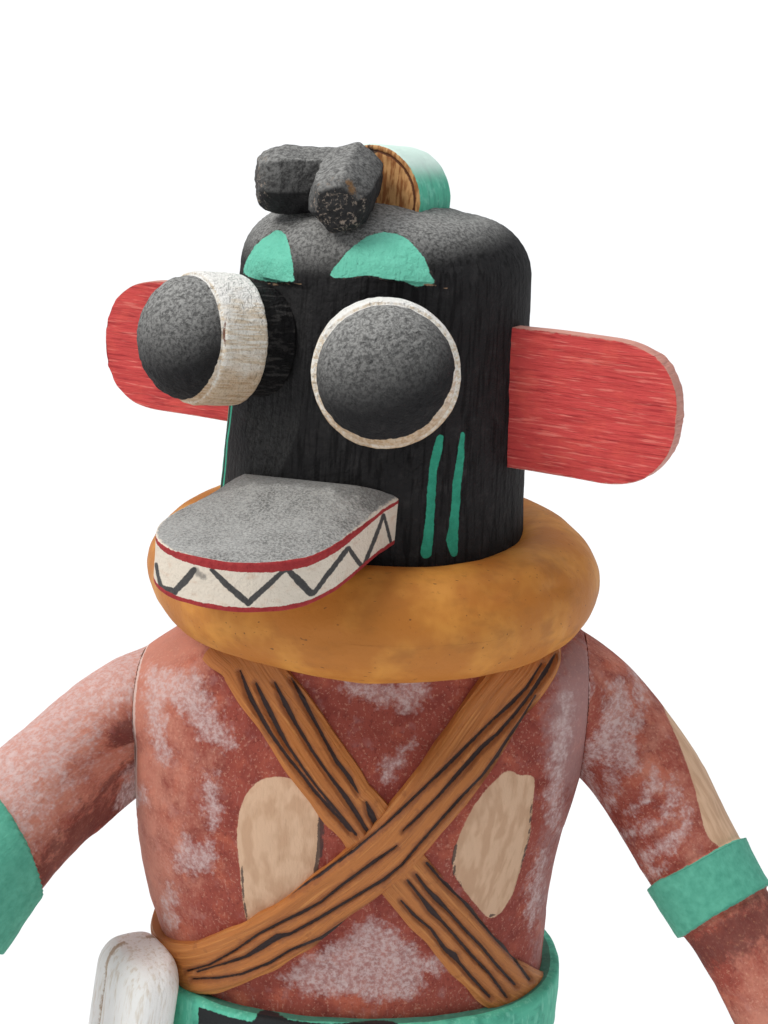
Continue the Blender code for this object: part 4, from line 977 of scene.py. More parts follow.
def make_snout():
    """Rows run from the middle of the underside round the painted wall up to the crown."""
    outline = snout_outline()
    from_right = distances(outline)
    share, rise = snout_rows()
    x = outline[:, 0] * share
    y = outline[:, 1] * share - SNOUT_MIDDLE * (1 - share)
    near = np.clip((y + HEAD_RADII[0] + SNOUT_RISE_LENGTH) / SNOUT_RISE_LENGTH, 0.0, 1.0)
    sides = np.minimum(np.abs(x) / SNOUT_HALF, 1.0)
    arch = SNOUT_ROOT_RISE * (1 - sides**2) * near**1.5 * np.clip(1 + rise / SNOUT_THICK, 0, 1)
    lift = SNOUT_LEFT_LIFT * np.maximum(x, 0.0) / SNOUT_HALF * near
    droop = (-y - HEAD_RADII[0]) * math.tan(math.radians(SNOUT_DROOP))
    local = np.stack([x, y, SNOUT_HEIGHT + rise + arch + lift - droop], -1)
    outward = normals(local, wrap=False)
    world, out = from_head(local), outward @ HEAD_TURN.T
    on_wall = (share > 0.98) & (rise < 0.05)
    below = -rise + 0 * x
    arcs = (from_right[-1] - from_right) - ZIGZAG_START + 0 * x
    hidden = np.max([stroke_depth(np.stack([arcs, below], -1), spine) for spine in HIDDEN_ZIGZAG], 0)
    zigzag = np.maximum(marks(world, out, strokes=ZIGZAG),
                        np.where(facing(world, out) > 0.05, OFF, hidden))
    side = np.where(share > 0.9, 0.05 - rise, -2.0) + 0 * x
    border = np.maximum(0.55 + 0.25 * np.sin(arcs / 9.0) - np.abs(below - 0.5),
                        0.42 - np.abs(below - 6.95))
    on_crown = np.where(rise > 0, 0.25 - (1 - share) * 20, OFF)
    rough = bumps(local, (0.08, 6.0, 31), (0.05, 2.2, 32), (np.where(rise > 0.02, 0.05, 0.0), 0.7, 33))
    Shape().add(from_head(raised(local, outward, rough)), own=local, up=lit(out),
                zigzag=np.where(on_wall, zigzag + 0.09, OFF),
                side=np.where(rise < -SNOUT_THICK + 0.05, 1.0, side),
                border=np.where(on_wall, border, on_crown),
                smudge=np.where(on_wall, marks(world, out, strokes=SMUDGE), OFF),
                # painted shadow on the top near the head
                back=np.where(on_wall, OFF, y + 30.0 - 0.1 * x)).piece(
        "snout_block", snout_material(), "snout", slot="snout_cream")


ROD_REACH, ROD_FACETS = 5.0, 6
# Knobs: the front and the rear of each rod's straight part, in the head's frame
KNOB_RODS = [((-10.0, -16.0, 59.1), (-5.0, -12.4, 59.5)),
             ((1.9, -20.4, 57.8), (-0.6, -13.2, 60.0))]
GOLD = [[(350, 184, 3), (353, 191, 3)]]
# A small hole in the roll's front face, painted black as its shade
HOLE_SHADE = [[(371, 149, 2.4), (373, 151, 2.4)]]
ROLL_PLACE = (-0.6, -6.0, 56.4)
ROLL_GROOVE = 7.9
# The roll: radius, and how far behind its front face
ROLL_PROFILE = [(0.3, 13.5), (6.8, 13.5), (8.0, 13.1), (8.5, 12.3), (8.9, 1.0), (8.95, 0.5),
                (8.6, 0.05), (8.2, 0.0), (ROLL_GROOVE, 0.18), (7.6, 0.0), (0.3, 0.0)]
# Dents and bulges in the ruff: place in the picture, size there, depth
RUFF_DENTS = ((498, 590, 10.0, 0.8), (530, 571, 13.0, -0.6), (556, 588, 8.0, 0.8),
              (524, 596, 7.0, 0.5), (430, 612, 12.0, 0.3), (330, 640, 14.0, 0.4))


def make_knob_rod(shape, start, end, seed):
    """A stubby rod cut in broad facets, with a chamfered, flat, scratched front end."""
    ahead = np.array(start) - end
    length = np.linalg.norm(ahead)
    axis = unit(ahead)
    across = unit(np.cross([0.0, 0.0, 1.0], axis))
    axes = (across, np.cross(axis, across), axis)
    path = [(0.3, -ROD_REACH), (3.2, -ROD_REACH), (4.7, 1.6 - ROD_REACH), (5.0, 3.2 - ROD_REACH),
            (5.1, length), (5.0, length + 2.0), (4.3, length + 3.9), (3.3, length + ROD_REACH),
            (0.2, length + ROD_REACH + 0.15)]
    radius, along, turn = lattice(evenly(path, 0.3), full_turn(118))
    part = np.mod(turn + 0.35 * seed, 2 * PI / ROD_FACETS) - PI / ROD_FACETS
    radius = radius * (0.25 + 0.75 * (math.cos(PI / ROD_FACETS) / np.cos(part) + 0.07))
    own = np.stack([radius * np.cos(turn), radius * np.sin(turn), along], -1)
    outward = normals(own)
    wear = step(length + 2.6, length + 4.6, along)
    rough = bumps(own, (0.28, 3.4, 40 + seed), (0.15, 1.3, 42 + seed),
                  (0.05 + 0.09 * wear, 0.6, 44 + seed))
    world = from_head(np.array(end) + drawn_on(raised(own, outward, rough), axes))
    out = drawn_on(outward, axes) @ HEAD_TURN.T
    shape.add(world, own=own + 30.0 * seed, wear=wear, gold=marks(world, out, strokes=GOLD),
              up=lit(out))


def make_knobs():
    rods = Shape()
    for number, (start, end) in enumerate(KNOB_RODS, 1):
        make_knob_rod(rods, start, end, number)
    rods.piece("crest_knob_pair", knob_material(), "crest_knobs", slot="head_black")


def make_roll():
    """Rows run from the rear of the roll round its wall to the middle of its front face."""
    radius, along, turn = lattice(evenly(ROLL_PROFILE, 0.36), full_turn(170))
    local = np.stack([radius * np.cos(turn), along, radius * np.sin(turn)], -1) + ROLL_PLACE
    outward = normals(local)
    out = outward @ HEAD_TURN.T
    groove = np.where(along < 0.3, 0.2 - np.abs(radius - ROLL_GROOVE), OFF)
    rough = bumps(local, (0.14, 5.0, 51), (0.06, 1.6, 52))
    Shape().add(from_head(raised(local, outward, rough)), own=local, face=0.25 - along,
                groove=groove, soot=marks(from_head(local), out, strokes=HOLE_SHADE),
                # how far the roll faces up, for its painted sheen
                fade=step(0.2, 1.0, out[..., 2])).piece(
        "crest_roll_turned", roll_material(), "crest_roll", slot="crest_turquoise")


def make_ruff():
    """A tilted ring, dented where the photo shows it, and dark where it meets the head."""
    major, tube = RUFF_RADII
    turn, ring = np.meshgrid(np.radians(around(330)[0]), full_turn(96)[0])
    radius = major + tube * np.cos(ring)
    grid = np.stack([radius * np.sin(turn), -radius * np.cos(turn), tube * np.sin(ring)], -1)
    grid = np.concatenate([grid, grid[:1]], 0)
    outward = normals(grid)
    tilt = turn_matrix("Y", RUFF_TILT).T
    world = grid @ tilt + RUFF_PLACE
    xy, _ = picture(world)
    rough = bumps(grid, (0.45, 14.0, 61), (0.22, 6.5, 62), (0.05, 2.0, 63))
    for x, y, size, deep in RUFF_DENTS:
        near = np.exp(-((xy[..., 0] - x) ** 2 + (1.7 * (xy[..., 1] - y)) ** 2) / (2 * size**2))
        rough = rough - deep * near * (facing(world, outward) > 0)
    world = raised(grid, outward, rough) @ tilt + RUFF_PLACE
    to_head = (world - HEAD_PLACE) @ HEAD_TURN
    from_wall = np.hypot(to_head[..., 0], to_head[..., 1]) - HEAD_RADII[0]
    bleed = 1.0 - np.hypot(from_wall, np.maximum(to_head[..., 2], 0))
    Shape().add(world, start=False, end=False, own=grid, bleed=bleed).piece(
        "ruff_ring", ruff_material(), "ruff", slot="ruff_ochre")


# Body
def leaned(x, y, height):
    """Trunk points, swayed sideways and lifted with the left shoulder."""
    share = (height - BELT_TOP) / TORSO_HEIGHT
    lift = np.clip((share - 0.5) / 0.35, 0.0, 1.0) * math.tan(math.radians(SHOULDER_TILT))
    return np.stack([x + sway(height), y + 0 * x, height + lift * x], -1)


def sway(height):
    """How far the trunk is swayed along X at a height."""
    share = (height - BELT_TOP) / TORSO_HEIGHT
    return TORSO_SWAY * np.sin(PI * np.clip(share / 0.65, 0.0, 1.0))


def torso_size(height):
    """Half the torso's width and half its depth at a height."""
    rows = smooth(TORSO, np.linspace(0.0, 1.0, 121))
    return np.interp(height, rows[:, 0], rows[:, 1]), np.interp(height, rows[:, 0], rows[:, 2])


def torso_point(turn, height, proud=0.0):
    """A point on the torso's wall, or one that stands proud of it."""
    half = (*torso_size(height), TORSO_SQUARENESS)
    (x, y), (ax, ay), (bx, by) = (oval(turn + more, *half) for more in (0.0, 1.0, -1.0))
    dx, dy = ax - bx, ay - by
    size = np.hypot(dx, dy)
    return leaned(x + dy / size * proud, y - dx / size * proud, height)


def strap_route(front, hip_turn, hip_height):
    """Turns and heights of a strap, down the chest, round a hip and up the back."""
    turns = []
    for x_share, share in front:
        height = BELT_TOP + share * TORSO_HEIGHT
        half_width, _ = torso_size(height)
        sine = (x_share * TORSO[2][1] - sway(height)) / half_width
        turn = math.degrees(math.asin(math.copysign(abs(sine) ** (TORSO_SQUARENESS / 2), sine)))
        turns.append((turn, height))
    half_round = math.copysign(180.0, hip_turn)
    back = [(half_round - turn, height) for turn, height in reversed(turns)]
    return turns + [(hip_turn, hip_height)] + back


STRAP_SIDES = np.concatenate([[-1.0, -1.0], np.linspace(-1.0, 1.0, 44), [1.0, 1.0]])
STRAP_LIFTS = np.concatenate([[-1.2, -0.3], np.ones(44), [-0.3, -1.2]])
STRAP_LINES = (-2.9, -1.0, 1.0, 2.9)
BURN_DEPTH = 0.6


def strap_floor(route):
    """The torso's wall under a strap, the ways out of it and across, and lengths along it."""
    line = smooth(route, np.linspace(0.0, 1.0, 470))
    middle = torso_point(line[:, 0], line[:, 1])
    outward = unit(torso_point(line[:, 0], line[:, 1], 1.0) - middle)
    across = unit(np.cross(unit(np.gradient(middle, axis=0)), outward))[:, None]
    flat = middle[:, None] + across * (STRAP_SIDES * STRAP_WIDTH / 2)[None, :, None]
    height = line[:, 1:2] + flat[..., 2] - middle[:, None, 2]
    turn = line[:, 0:1] + 0 * height
    for _ in range(3):
        beside = (torso_point(turn + 0.5, height) - torso_point(turn - 0.5, height))[..., :2]
        gap = (flat - torso_point(turn, height))[..., :2]
        turn = turn + (gap * beside).sum(-1) / np.maximum((beside**2).sum(-1), 1e-9)
    wall = torso_point(turn, height)
    return wall, torso_point(turn, height, 1.0) - wall, across, distances(middle)[:, None]


UNDER_BURNS = [
    [(239, 672, .8), (248, 695, 2.2), (254, 707, 2.0), (271, 736, 1.8), (286, 757, 1.6),
     (300, 774, 1.4), (313, 791, 1.8), (330, 810, 1.4), (350, 832, 1.5)],
    [(255, 684, .8), (265, 705, 2.6), (279, 732, 2.2), (288, 748, 1.5), (303, 770, 1.3),
     (318, 790, 1.2), (336, 812, 1.6), (356, 836, 1.5)],
    [(274, 683, .8), (286, 707, 2.8), (296, 726, 1.8), (311, 751, 1.6), (327, 774, 1.4),
     (346, 799, 2.4), (357, 816, 2.4), (369, 835, 1.5)],
    [(291, 679, .8), (302, 699, 2.4), (311, 716, 1.8), (323, 738, 1.5), (336, 762, 2.0),
     (350, 780, 2.2), (358, 794, .8)],
    [(366, 803, 1.0), (371, 815, 3.4), (378, 829, 2.0)],
    [(427, 864, 1.2), (439, 878, 1.6), (449, 887, 2.6), (464, 902, 1.6), (481, 922, 1.5),
     (498, 941, 1.5), (515, 958, 1.3), (531, 980, 1.4)],
    [(416, 875, 1.2), (427, 890, 1.6), (437, 900, 2.8), (449, 912, 1.5), (466, 931, 1.5),
     (483, 948, 1.5), (498, 966, 1.4), (517, 986, 1.4)],
    [(408, 882, 1.2), (420, 897, 1.6), (431, 911, 3.0), (444, 924, 1.5), (459, 941, 1.5),
     (474, 958, 1.5), (491, 975, 1.4), (508, 998, 1.4)],
    [(401, 902, 1.0), (415, 917, 1.5), (432, 931, 1.4), (446, 951, 2.0), (455, 957, 3.4),
     (460, 964, 1.4), (474, 980, 1.5), (491, 998, 1.4)]]
OVER_BURNS = [
    [(543, 664, .8), (527, 689, 1.4), (510, 706, 1.8), (493, 721, 1.2), (471, 743, 1.5),
     (449, 765, 1.8), (424, 789, 1.2), (400, 812, 1.4), (385, 826, 1.0), (352, 853, 1.4),
     (320, 876, 1.2), (290, 895, 1.0)],
    [(557, 655, 1.0), (547, 672, 2.4), (532, 694, 1.6), (515, 716, 1.6), (498, 735, 1.4),
     (483, 748, 2.4), (461, 772, 2.0), (439, 797, 1.3), (415, 821, 1.3), (403, 832, .8)],
    [(397, 847, .8), (374, 863, 1.8), (342, 886, 1.4), (321, 903, 1.2), (300, 914, 1.6),
     (279, 924, 1.2), (258, 935, 1.2), (235, 951, 1.0), (208, 966, .9), (185, 972, .8)],
    [(537, 696, .8), (522, 721, 1.2), (510, 738, 1.4), (498, 757, 1.6), (483, 777, 1.3),
     (461, 799, 1.4), (437, 826, 1.4), (420, 845, 1.2), (402, 866, 1.2), (385, 880, 1.6),
     (353, 899, 1.3), (321, 918, 1.5), (290, 935, 1.3), (277, 938, 3.0), (260, 949, 2.8),
     (245, 958, 1.6), (220, 966, 1.0), (195, 973, .9)],
    [(420, 872, 1.2), (402, 885, 1.5), (385, 896, 1.2), (353, 918, 1.8), (321, 939, 1.5),
     (290, 951, 1.2), (269, 964, 1.3), (241, 975, 1.1), (216, 979, 1.0), (191, 980, .8)]]


def make_strap(shape, route, thickness, burns, seed):
    """A strap on the torso's wall, with its burnt lines cut into it."""
    wall, proud, across, lengths = strap_floor(route)
    top = STRAP_LIFTS > 0
    rounding = 0.72 + 0.28 * step(0.0, 0.22, 1.0 - np.abs(STRAP_SIDES))
    grid = raised(wall, proud, np.where(top, thickness * rounding, STRAP_LIFTS))
    aside = STRAP_SIDES * STRAP_WIDTH / 2 + 0 * lengths
    own = np.stack([aside, lengths + 0 * aside, 0 * aside + 9.0 * seed], -1)
    burnt = marks(grid, proud, strokes=burns, least_facing=0.22)
    seen = step(0.12, 0.3, facing(grid, proud))
    for number, line in enumerate(STRAP_LINES):
        place = own + 40.0 * number
        drift = 0.4 * noise(place, (60.0, 9.0, 60.0), 70 + seed)
        width = 0.22 + 0.16 * noise(place, (60.0, 5.0, 60.0), 71 + seed)
        burnt = np.maximum(burnt, width - np.abs(aside - line - drift) - 3.0 * seen)
    burnt = np.where(top, burnt + 0.01, OFF)
    cut = BURN_DEPTH * step(-0.42, 0.1, burnt)
    rough = bumps(own, (0.10, (1.3, 30.0, 9.0), 72 + seed), (0.07, (2.0, 5.0, 9.0), 73 + seed))
    grid = raised(grid, proud, np.where(top, rough - cut, 0.0))
    wobble = 0.22 * noise(own, (30.0, 4.0, 9.0), 74 + seed)
    grid = raised(grid, across, wobble * (np.abs(STRAP_SIDES) > 0.97))
    layers = {"own": own, "burnt": burnt, "scorch": np.where(top, burnt + 0.5, OFF)}
    shape.add(grid[:, ::-1], wrap=False, start=False, end=False,
              **{name: layer[:, ::-1] for name, layer in layers.items()})


OVALS = [
    [(252, 787), (265, 778.7), (283, 777), (298, 783), (310, 797), (318, 814), (320, 835),
     (319, 860), (312, 885), (298, 908), (275, 925), (258, 925), (247, 920), (242.6, 901),
     (240, 870), (237, 840), (239, 815), (244, 799)],
    [(505, 772), (519, 775), (533, 777), (534, 792), (532, 811), (530, 831), (525, 853),
     (520, 870), (514, 890), (507, 904), (498, 915), (488, 917), (476, 905), (464, 890),
     (454, 873), (452.6, 858), (456, 846), (462, 830), (478, 800)]]
OVAL_LINES = [
    [(318, 808, 1.2), (321, 824, 3.2), (320, 850, 3.2), (315, 876, 2.0)],
    [(242, 866, 1.0), (243, 900, 1.2), (248, 920, 1.4)],
    [(456, 845, 1.4), (453, 860, 1.8), (455, 875, 1.4), (466, 892, 1.0)],
    [(491, 916, 2.4), (498, 916, 1.0)],
    [(532, 800, .8), (529, 835, 1.0), (521, 868, .8)]]
RUBS = [
    [(146, 668), (160, 668), (180, 672), (197, 673), (208, 697), (227, 730), (235, 747),
     (206, 741), (193, 726), (174, 703), (166, 700), (164, 730), (170, 756), (160, 762),
     (150, 735), (146, 700)],
    [(122, 800), (135, 786), (146, 790), (140, 806)],
    [(205, 780), (214, 778), (216, 800), (222, 812), (212, 826), (206, 812)],
    [(175, 852), (184, 832), (196, 846), (212, 842), (212, 868), (194, 872), (176, 868)],
    [(165, 885), (172, 888), (176, 904), (168, 906)],
    [(164, 902), (172, 908), (178, 924), (168, 928)],
    [(279, 977), (311, 958), (342, 941), (368, 920), (389, 928), (414, 949), (421, 966),
     (420, 994), (385, 1000), (353, 996), (311, 992)],
    [(428, 956), (444, 958), (440, 972), (426, 972)],
    [(345, 682), (372, 684), (396, 684), (420, 680), (428, 696), (408, 712), (392, 704),
     (368, 700), (350, 694)],
    [(381, 768), (392, 758), (404, 748), (412, 742), (400, 766), (388, 780)],
    [(560, 700), (566, 690), (571, 722), (562, 780), (556, 830), (548, 800)],
    [(537, 860), (545, 852), (540, 900), (530, 930), (528, 900)]]
ARM_RUBS = [
    [(571, 655), (584, 650), (588, 690), (580, 716), (572, 700)],
    [(611, 684), (622, 679), (634, 700), (632, 738), (640, 757), (635, 774), (620, 764),
     (598, 761), (586, 772), (578, 792), (573, 780), (586, 752), (600, 724), (608, 704)]]
ARM_STROKES = [
    [(632, 668, 3), (641, 690, 4), (641, 710, 3), (632, 732, 3)],
    [(655, 770, 2), (654, 786, 5), (643, 802, 5), (628, 813, 2)],
    [(672, 779, 2), (674, 800, 4), (662, 820, 4.5), (640, 832, 4), (620, 836, 2)],
    [(690, 806, 2), (684, 828, 5), (664, 848, 6), (644, 858, 5)],
    [(608, 764, 3), (614, 784, 5), (608, 806, 4)],
    [(585, 770, 3), (596, 796, 4)], [(648, 876, 3), (662, 868, 3)]]
ARM_TAN = [(657, 690), (676, 712), (700, 756), (722, 800), (748, 846), (738, 852), (718, 846),
           (705, 830), (694, 786), (680, 745), (667, 716)]
# Painted sheen: a hazy, lighter grey on the left shoulder and down the left flank
SHEEN_HAZE = [[(568, 640), (600, 650), (610, 690), (596, 740), (585, 780), (560, 790), (548, 740),
         (552, 690)]]
FLANK_SHEEN = [[(553, 792, 1.5), (549, 840, 3.5), (543, 900, 4.0), (541, 960, 2.5)],
         [(563, 790, 1.0), (560, 850, 2.5), (553, 910, 2.0)]]
RIGHT_ARM_RUBS = [
    [(118, 806), (128, 770), (138, 764), (142, 790), (132, 806)],
    [(16, 728), (58, 692), (108, 662), (145, 648), (146, 668), (112, 684), (66, 712), (24, 742)],
    [(30, 770), (52, 748), (74, 742), (70, 760), (44, 784)]]


def make_torso():
    """Rows run from inside the belt up over the shoulders to the neck."""
    neck = [(z, NECK_RADIUS, NECK_RADIUS) for z in np.linspace(*NECK_HEIGHTS, 16)]
    sizes = np.vstack([[TORSO_FOOT], smooth(TORSO, np.linspace(0.0, 1.0, 132)), neck])
    level = shell(sizes, 380, TORSO_SQUARENESS)
    height = level[..., 2]
    above = step(168.0, 171.0, height)[..., None]
    grid = leaned(level[..., 0], level[..., 1], height) * (1 - above) + \
        (level + (RUFF_PLACE[0], 0.0, 0.0)) * above
    reach = np.abs(grid[..., 0])
    limit = SHOULDER_FACE_X + TORSO_GAP
    ease = step(SHOULDER_FACE_BOTTOM - 5.0, SHOULDER_FACE_BOTTOM, grid[..., 2])
    held = np.sign(grid[..., 0]) * (reach + (limit - reach) * ease)
    cut = (reach > limit) & (ease > 0.99)
    grid[..., 0] = np.where(reach > limit, held, grid[..., 0])
    outward = normals(grid)
    beside = np.where(height > SHOULDER_FACE_BOTTOM, step(0.0, 5.0, limit - reach), 1.0)
    rough = bumps(grid, (0.4, 13.0, 81), (0.16, 5.0, 82), (0.05, 1.8, 83)) * beside
    grid = raised(grid, outward, np.where(cut, 0.0, rough))
    on_right = (grid[..., 0] < 0) & (height > SHOULDER_FACE_BOTTOM + 2.0)
    # Painted light: the torso's right side is lighter where it faces up and to the figure's right
    pale = outward @ np.array([-4.4, 0.6, 2.6]) - 1.6 - 2.5 * step(-34.0, -14.0, grid[..., 0])
    Shape().add(grid, rub=marks(grid, outward, outlines=RUBS),
                tan=marks(grid, outward, outlines=OVALS),
                line=marks(grid, outward, strokes=OVAL_LINES),
                seam=np.where(on_right, 0.5 - np.maximum(limit - reach, 0.0), OFF),
                haze=marks(grid, outward, strokes=FLANK_SHEEN, outlines=SHEEN_HAZE), pale=pale).piece(
        "torso_carved", skin_material("torso_paint"), "body", slot="body_paint")


def make_straps():
    straps = Shape()
    under = strap_route(UNDER_FRONT, hip_turn=90.0, hip_height=BELT_TOP - 6.05)
    over = strap_route(OVER_FRONT, hip_turn=-90.0, hip_height=BELT_TOP + 1.2)
    make_strap(straps, under, thickness=1.35, burns=UNDER_BURNS, seed=1)
    make_strap(straps, over, thickness=2.15, burns=OVER_BURNS, seed=2)
    straps.piece("strap_pair", strap_material(), "body", slot="body_paint")


BELT_BLACK = [(258, 1013), (291, 1020), (330, 1024), (402, 1026), (400, 1100), (250, 1100)]
# Lines round the hem: height, half width
HEM_LINES = ((59.2, 0.5), (57.0, 0.9))


def make_belt():
    """Rows run from under the lower edge up the wall and in over the upper edge."""
    low, high = KILT_TOP[0], BELT_TOP
    rows = [(low, -2.0), (low, -BELT_EDGE), (low + 0.25, -0.2), (low + BELT_EDGE, 0.0)]
    rows += [(z, 0.0) for z in np.linspace(low + 1.2, high - 1.2, 22)]
    rows += [(high - BELT_EDGE, 0.0), (high - 0.25, -0.2), (high, -BELT_EDGE), (high, -1.6),
             (high - 0.1, -2.6), (high - 0.3, -4.2)]
    inset = np.array(rows)[:, 1:2]
    grid = shell([(z, BELT_HALF[0] + out, BELT_HALF[1] + out) for z, out in rows], 260,
                 TORSO_SQUARENESS)
    outward = normals(grid)
    grid = raised(grid, outward, bumps(grid, (0.28, 10.0, 91), (0.1, 3.5, 92), (0.04, 1.5, 93)))
    black = marks(grid, outward, outlines=[BELT_BLACK], least_facing=-0.3)
    front = np.minimum((30.0 - np.abs(around(260) + 12.0)) * 0.55, high - 0.9 - grid[..., 2])
    Shape().add(grid, start=False, end=False, black=np.maximum(black, front),
                # the inturned upper edge, darkened as painted shade
                dusk=np.where(inset < -1.0, 1.2, OFF) + 0 * black).piece(
        "belt_ring", belt_material(), "body", slot="body_paint")


def make_kilt():
    """Rows run from inside the hem up to the belt; the overlap's edge shows at the left."""
    hem, top = np.array(KILT_HEM), np.array(KILT_TOP)
    sizes = [hem + (0.2, -6.0, -6.0), hem - (0.0, 0.6, 0.6)]
    for share in np.linspace(0.0, 1.0, 66):
        flare = top + (1 - share) ** 1.6 * (hem - top)
        sizes.append(np.append(hem[0] + 0.3 + share * (top[0] - hem[0]), flare[1:]))
    grid = shell(sizes, 260, TORSO_SQUARENESS)
    overlap = around(260) - 34.0
    rough = bumps(grid, (0.3, 9.0, 95), (0.08, (3.0, 3.0, 14.0), 96), (0.04, (1.0, 1.0, 8.0), 97))
    rough = rough + 0.7 * step(-1.0, 1.0, overlap) * step(60.0, 52.0, overlap)
    grid = raised(grid, normals(grid), rough)
    black_line, red_line = (half - np.abs(grid[..., 2] - height) for height, half in HEM_LINES)
    Shape().add(grid, end=False, hem=black_line, hem_red=red_line).piece(
        "kilt_skirt", kilt_material(), "body", slot="body_paint")


# Legs: height, radius, how far back. Moccasins: shares of their length, width and height
LEG = [(SOLE + 4.5, 7.4, 0.5), (SOLE + 13.0, 7.4, 0.3), (40.0, 9.4, 1.2), (59.0, 8.9, -0.4)]
FOOT_ROWS = [(0.0, 0.30, 0.45), (0.04, 0.62, 0.75), (0.15, 0.86, 1.0), (0.35, 0.90, 1.0),
             (0.6, 1.0, 0.74), (0.82, 0.94, 0.56), (0.96, 0.62, 0.40), (1.0, 0.30, 0.22)]


def add_leg(shape, side):
    rows = smooth(LEG, np.linspace(0.0, 1.0, 60))
    grid = shell(np.stack([rows[:, 0], rows[:, 1], rows[:, 1] * 1.06], -1), 76)
    grid[..., 0] += side * LEG_SPACING / 2
    grid[..., 1] += rows[:, 2:3]
    grid = raised(grid, normals(grid), bumps(grid, (0.22, 6.0, 101), (0.06, 1.8, 102)))
    shape.add(grid, **bare(grid, "rub", "tan", "line", "seam", "haze", "pale"))


def add_foot(shape, side):
    """A moccasin. Rows run from its toe to its heel, over its top and back under its sole."""
    rows = smooth(FOOT_ROWS, np.linspace(0.0, 1.0, 60))
    place, wide, high = (rows[:, i:i + 1] for i in range(3))
    arc = np.linspace(0.0, PI, 60)
    under = np.linspace(1.0, -1.0, 14)[1:-1]
    across = np.append(np.sign(np.cos(arc)) * np.abs(np.cos(arc)) ** 0.75, under) * FOOT[1]
    rise = np.append(np.maximum(np.sin(arc), 0.0) ** 0.85, 0 * under) * FOOT[2]
    local = np.stack([across * wide, -place * FOOT[0] + 0 * across, rise * high], -1)[::-1]
    up = local[..., 2]
    rough = bumps(local, (0.16, 5.0, 104), (0.05, 1.7, 105)) * step(0.0, 1.0, up)
    world = raised(local, normals(local), rough) @ turn_matrix("Z", side * FOOT_TURN_OUT).T
    shape.add(world + (side * LEG_SPACING / 2, HEEL_Y, SOLE), own=local, sole=1.5 - up)


def make_legs():
    legs, feet = Shape(), Shape()
    for side in (-1, 1):
        add_leg(legs, side)
        add_foot(feet, side)
    legs.piece("leg_pair", skin_material("leg_paint"), "body", slot="body_paint")
    feet.piece("moccasin_pair", moccasin_material(), "body", slot="body_paint")


def arm_half(share, half_width, taper):
    """Half the width and half the depth of an arm and its fist, at shares of its length."""
    shares = (0.0, 0.2, 0.55, 0.68, 0.80, 0.865, 0.93, 0.965, 0.99, 1.0)
    widths = np.array([1.0, 1.0, taper, taper * 0.93]) * half_width
    depths = np.array([1.0, 1.0, taper, taper * 0.9]) * ARM_DEPTH
    return (np.interp(share, shares, [*widths, 6.8, 8.4, 8.4, 7.06, 4.2, 1.7])[:, None],
            np.interp(share, shares, [*depths, 6.0, 8.0, 8.0, 6.7, 4.0, 1.6])[:, None])


def arm_axis(points, armband, side):
    """Places along an arm, and its middle and its ways across and back there."""
    route = smooth([(side * (SHOULDER_FACE_X + out), back, SHOULDER_HEIGHT + up)
                    for out, back, up in points], np.linspace(0.0, 1.0, 400))
    lengths = distances(route)
    edge = np.array([-0.12, 0.0, 0.3, 0.6])
    at = np.unique(np.concatenate([np.linspace(0.0, lengths[-1], 232), armband[0] + edge,
                                   armband[1] - edge]))
    centre = read_path(route, lengths, at)
    ahead = np.gradient(centre, at, axis=0)
    for i in range(3):
        ahead[:, i] = np.convolve(np.pad(ahead[:, i], 4, mode="edge"), np.ones(9) / 9, "valid")
    ahead = unit(ahead)
    deep = unit(np.array([0.0, 1.0, 0.0]) - ahead * ahead[:, 1:2])
    return at, centre, np.cross(ahead, deep), deep


def cut_flat(grid, side, plane):
    """Cuts the shoulder end of an arm flat: each column of rows ends where it meets the plane."""
    inside = side * grid[..., 0] < plane
    last = len(grid) - 1 - np.argmax(inside[::-1], 0)
    column = np.arange(grid.shape[1])
    here, ahead = grid[last, column], grid[last + 1, column]
    t = (plane - side * here[:, 0]) / (side * (ahead - here)[:, 0])
    rim = here + (ahead - here) * t[:, None]
    share = (np.arange(len(grid))[:, None] + 1.0) / (last[None] + 1.0)
    middle = rim.mean(0)
    flat = middle + (rim - middle)[None] * np.minimum(share, 1.0)[..., None]
    return flush(np.where(inside[..., None], flat, grid), rim, side, plane), inside


def shoulder_outline(side, plane):
    """Depths and heights of the torso's flat shoulder face, round its edge."""
    height = np.linspace(128.0, 166.0, 400)
    half_width, half_depth = torso_size(height)
    x = side * plane - sway(height)
    inside = np.abs(x) < half_width
    share = (np.abs(x[inside]) / half_width[inside]) ** TORSO_SQUARENESS
    y = half_depth[inside] * (1 - share) ** (1 / TORSO_SQUARENESS)
    z = leaned(x[inside], y, height[inside])[:, 2]
    return np.concatenate([-y, y[::-1]]), np.concatenate([z, z[::-1]])


def flush(grid, rim, side, plane):
    """Swells or draws in an arm beside the shoulder until it meets the face's edge."""
    middle = rim[:, 1:].mean(0)
    edge = np.stack(shoulder_outline(side, plane), -1) - middle
    rim = rim[:, 1:] - middle
    here = grid[..., 1:] - middle
    reach = []
    for ring in (edge, rim):
        angle = np.arctan2(ring[:, 1], ring[:, 0])
        order = np.argsort(angle)
        reach.append(np.interp(np.arctan2(here[..., 1], here[..., 0]), angle[order],
                               np.hypot(ring[:, 0], ring[:, 1])[order], period=2 * PI))
    growth = np.clip(reach[0] / reach[1], 0.7, 1.5) - 1
    below = step(-0.3, 0.8, -here[..., 1] / np.maximum(np.hypot(here[..., 0], here[..., 1]), 1e-6))
    growth = np.where(growth > 0, growth * (1 - 0.9 * below), growth)
    away = np.maximum(side * grid[..., 0] - plane, 0.0)
    near = np.exp(-(away / 7.0) ** 2)
    out = grid.copy()
    out[..., 1:] = middle + here * (1 + growth * near)[..., None]
    return out


def armband_start(armband, side, turn):
    """Where an armband starts along the arm; the right one leans."""
    lean = RIGHT_ARMBAND_LEAN if side < 0 else 0.0
    return armband[0] + lean * np.sin(np.radians(turn - ARMBAND_LEAN_TURN))


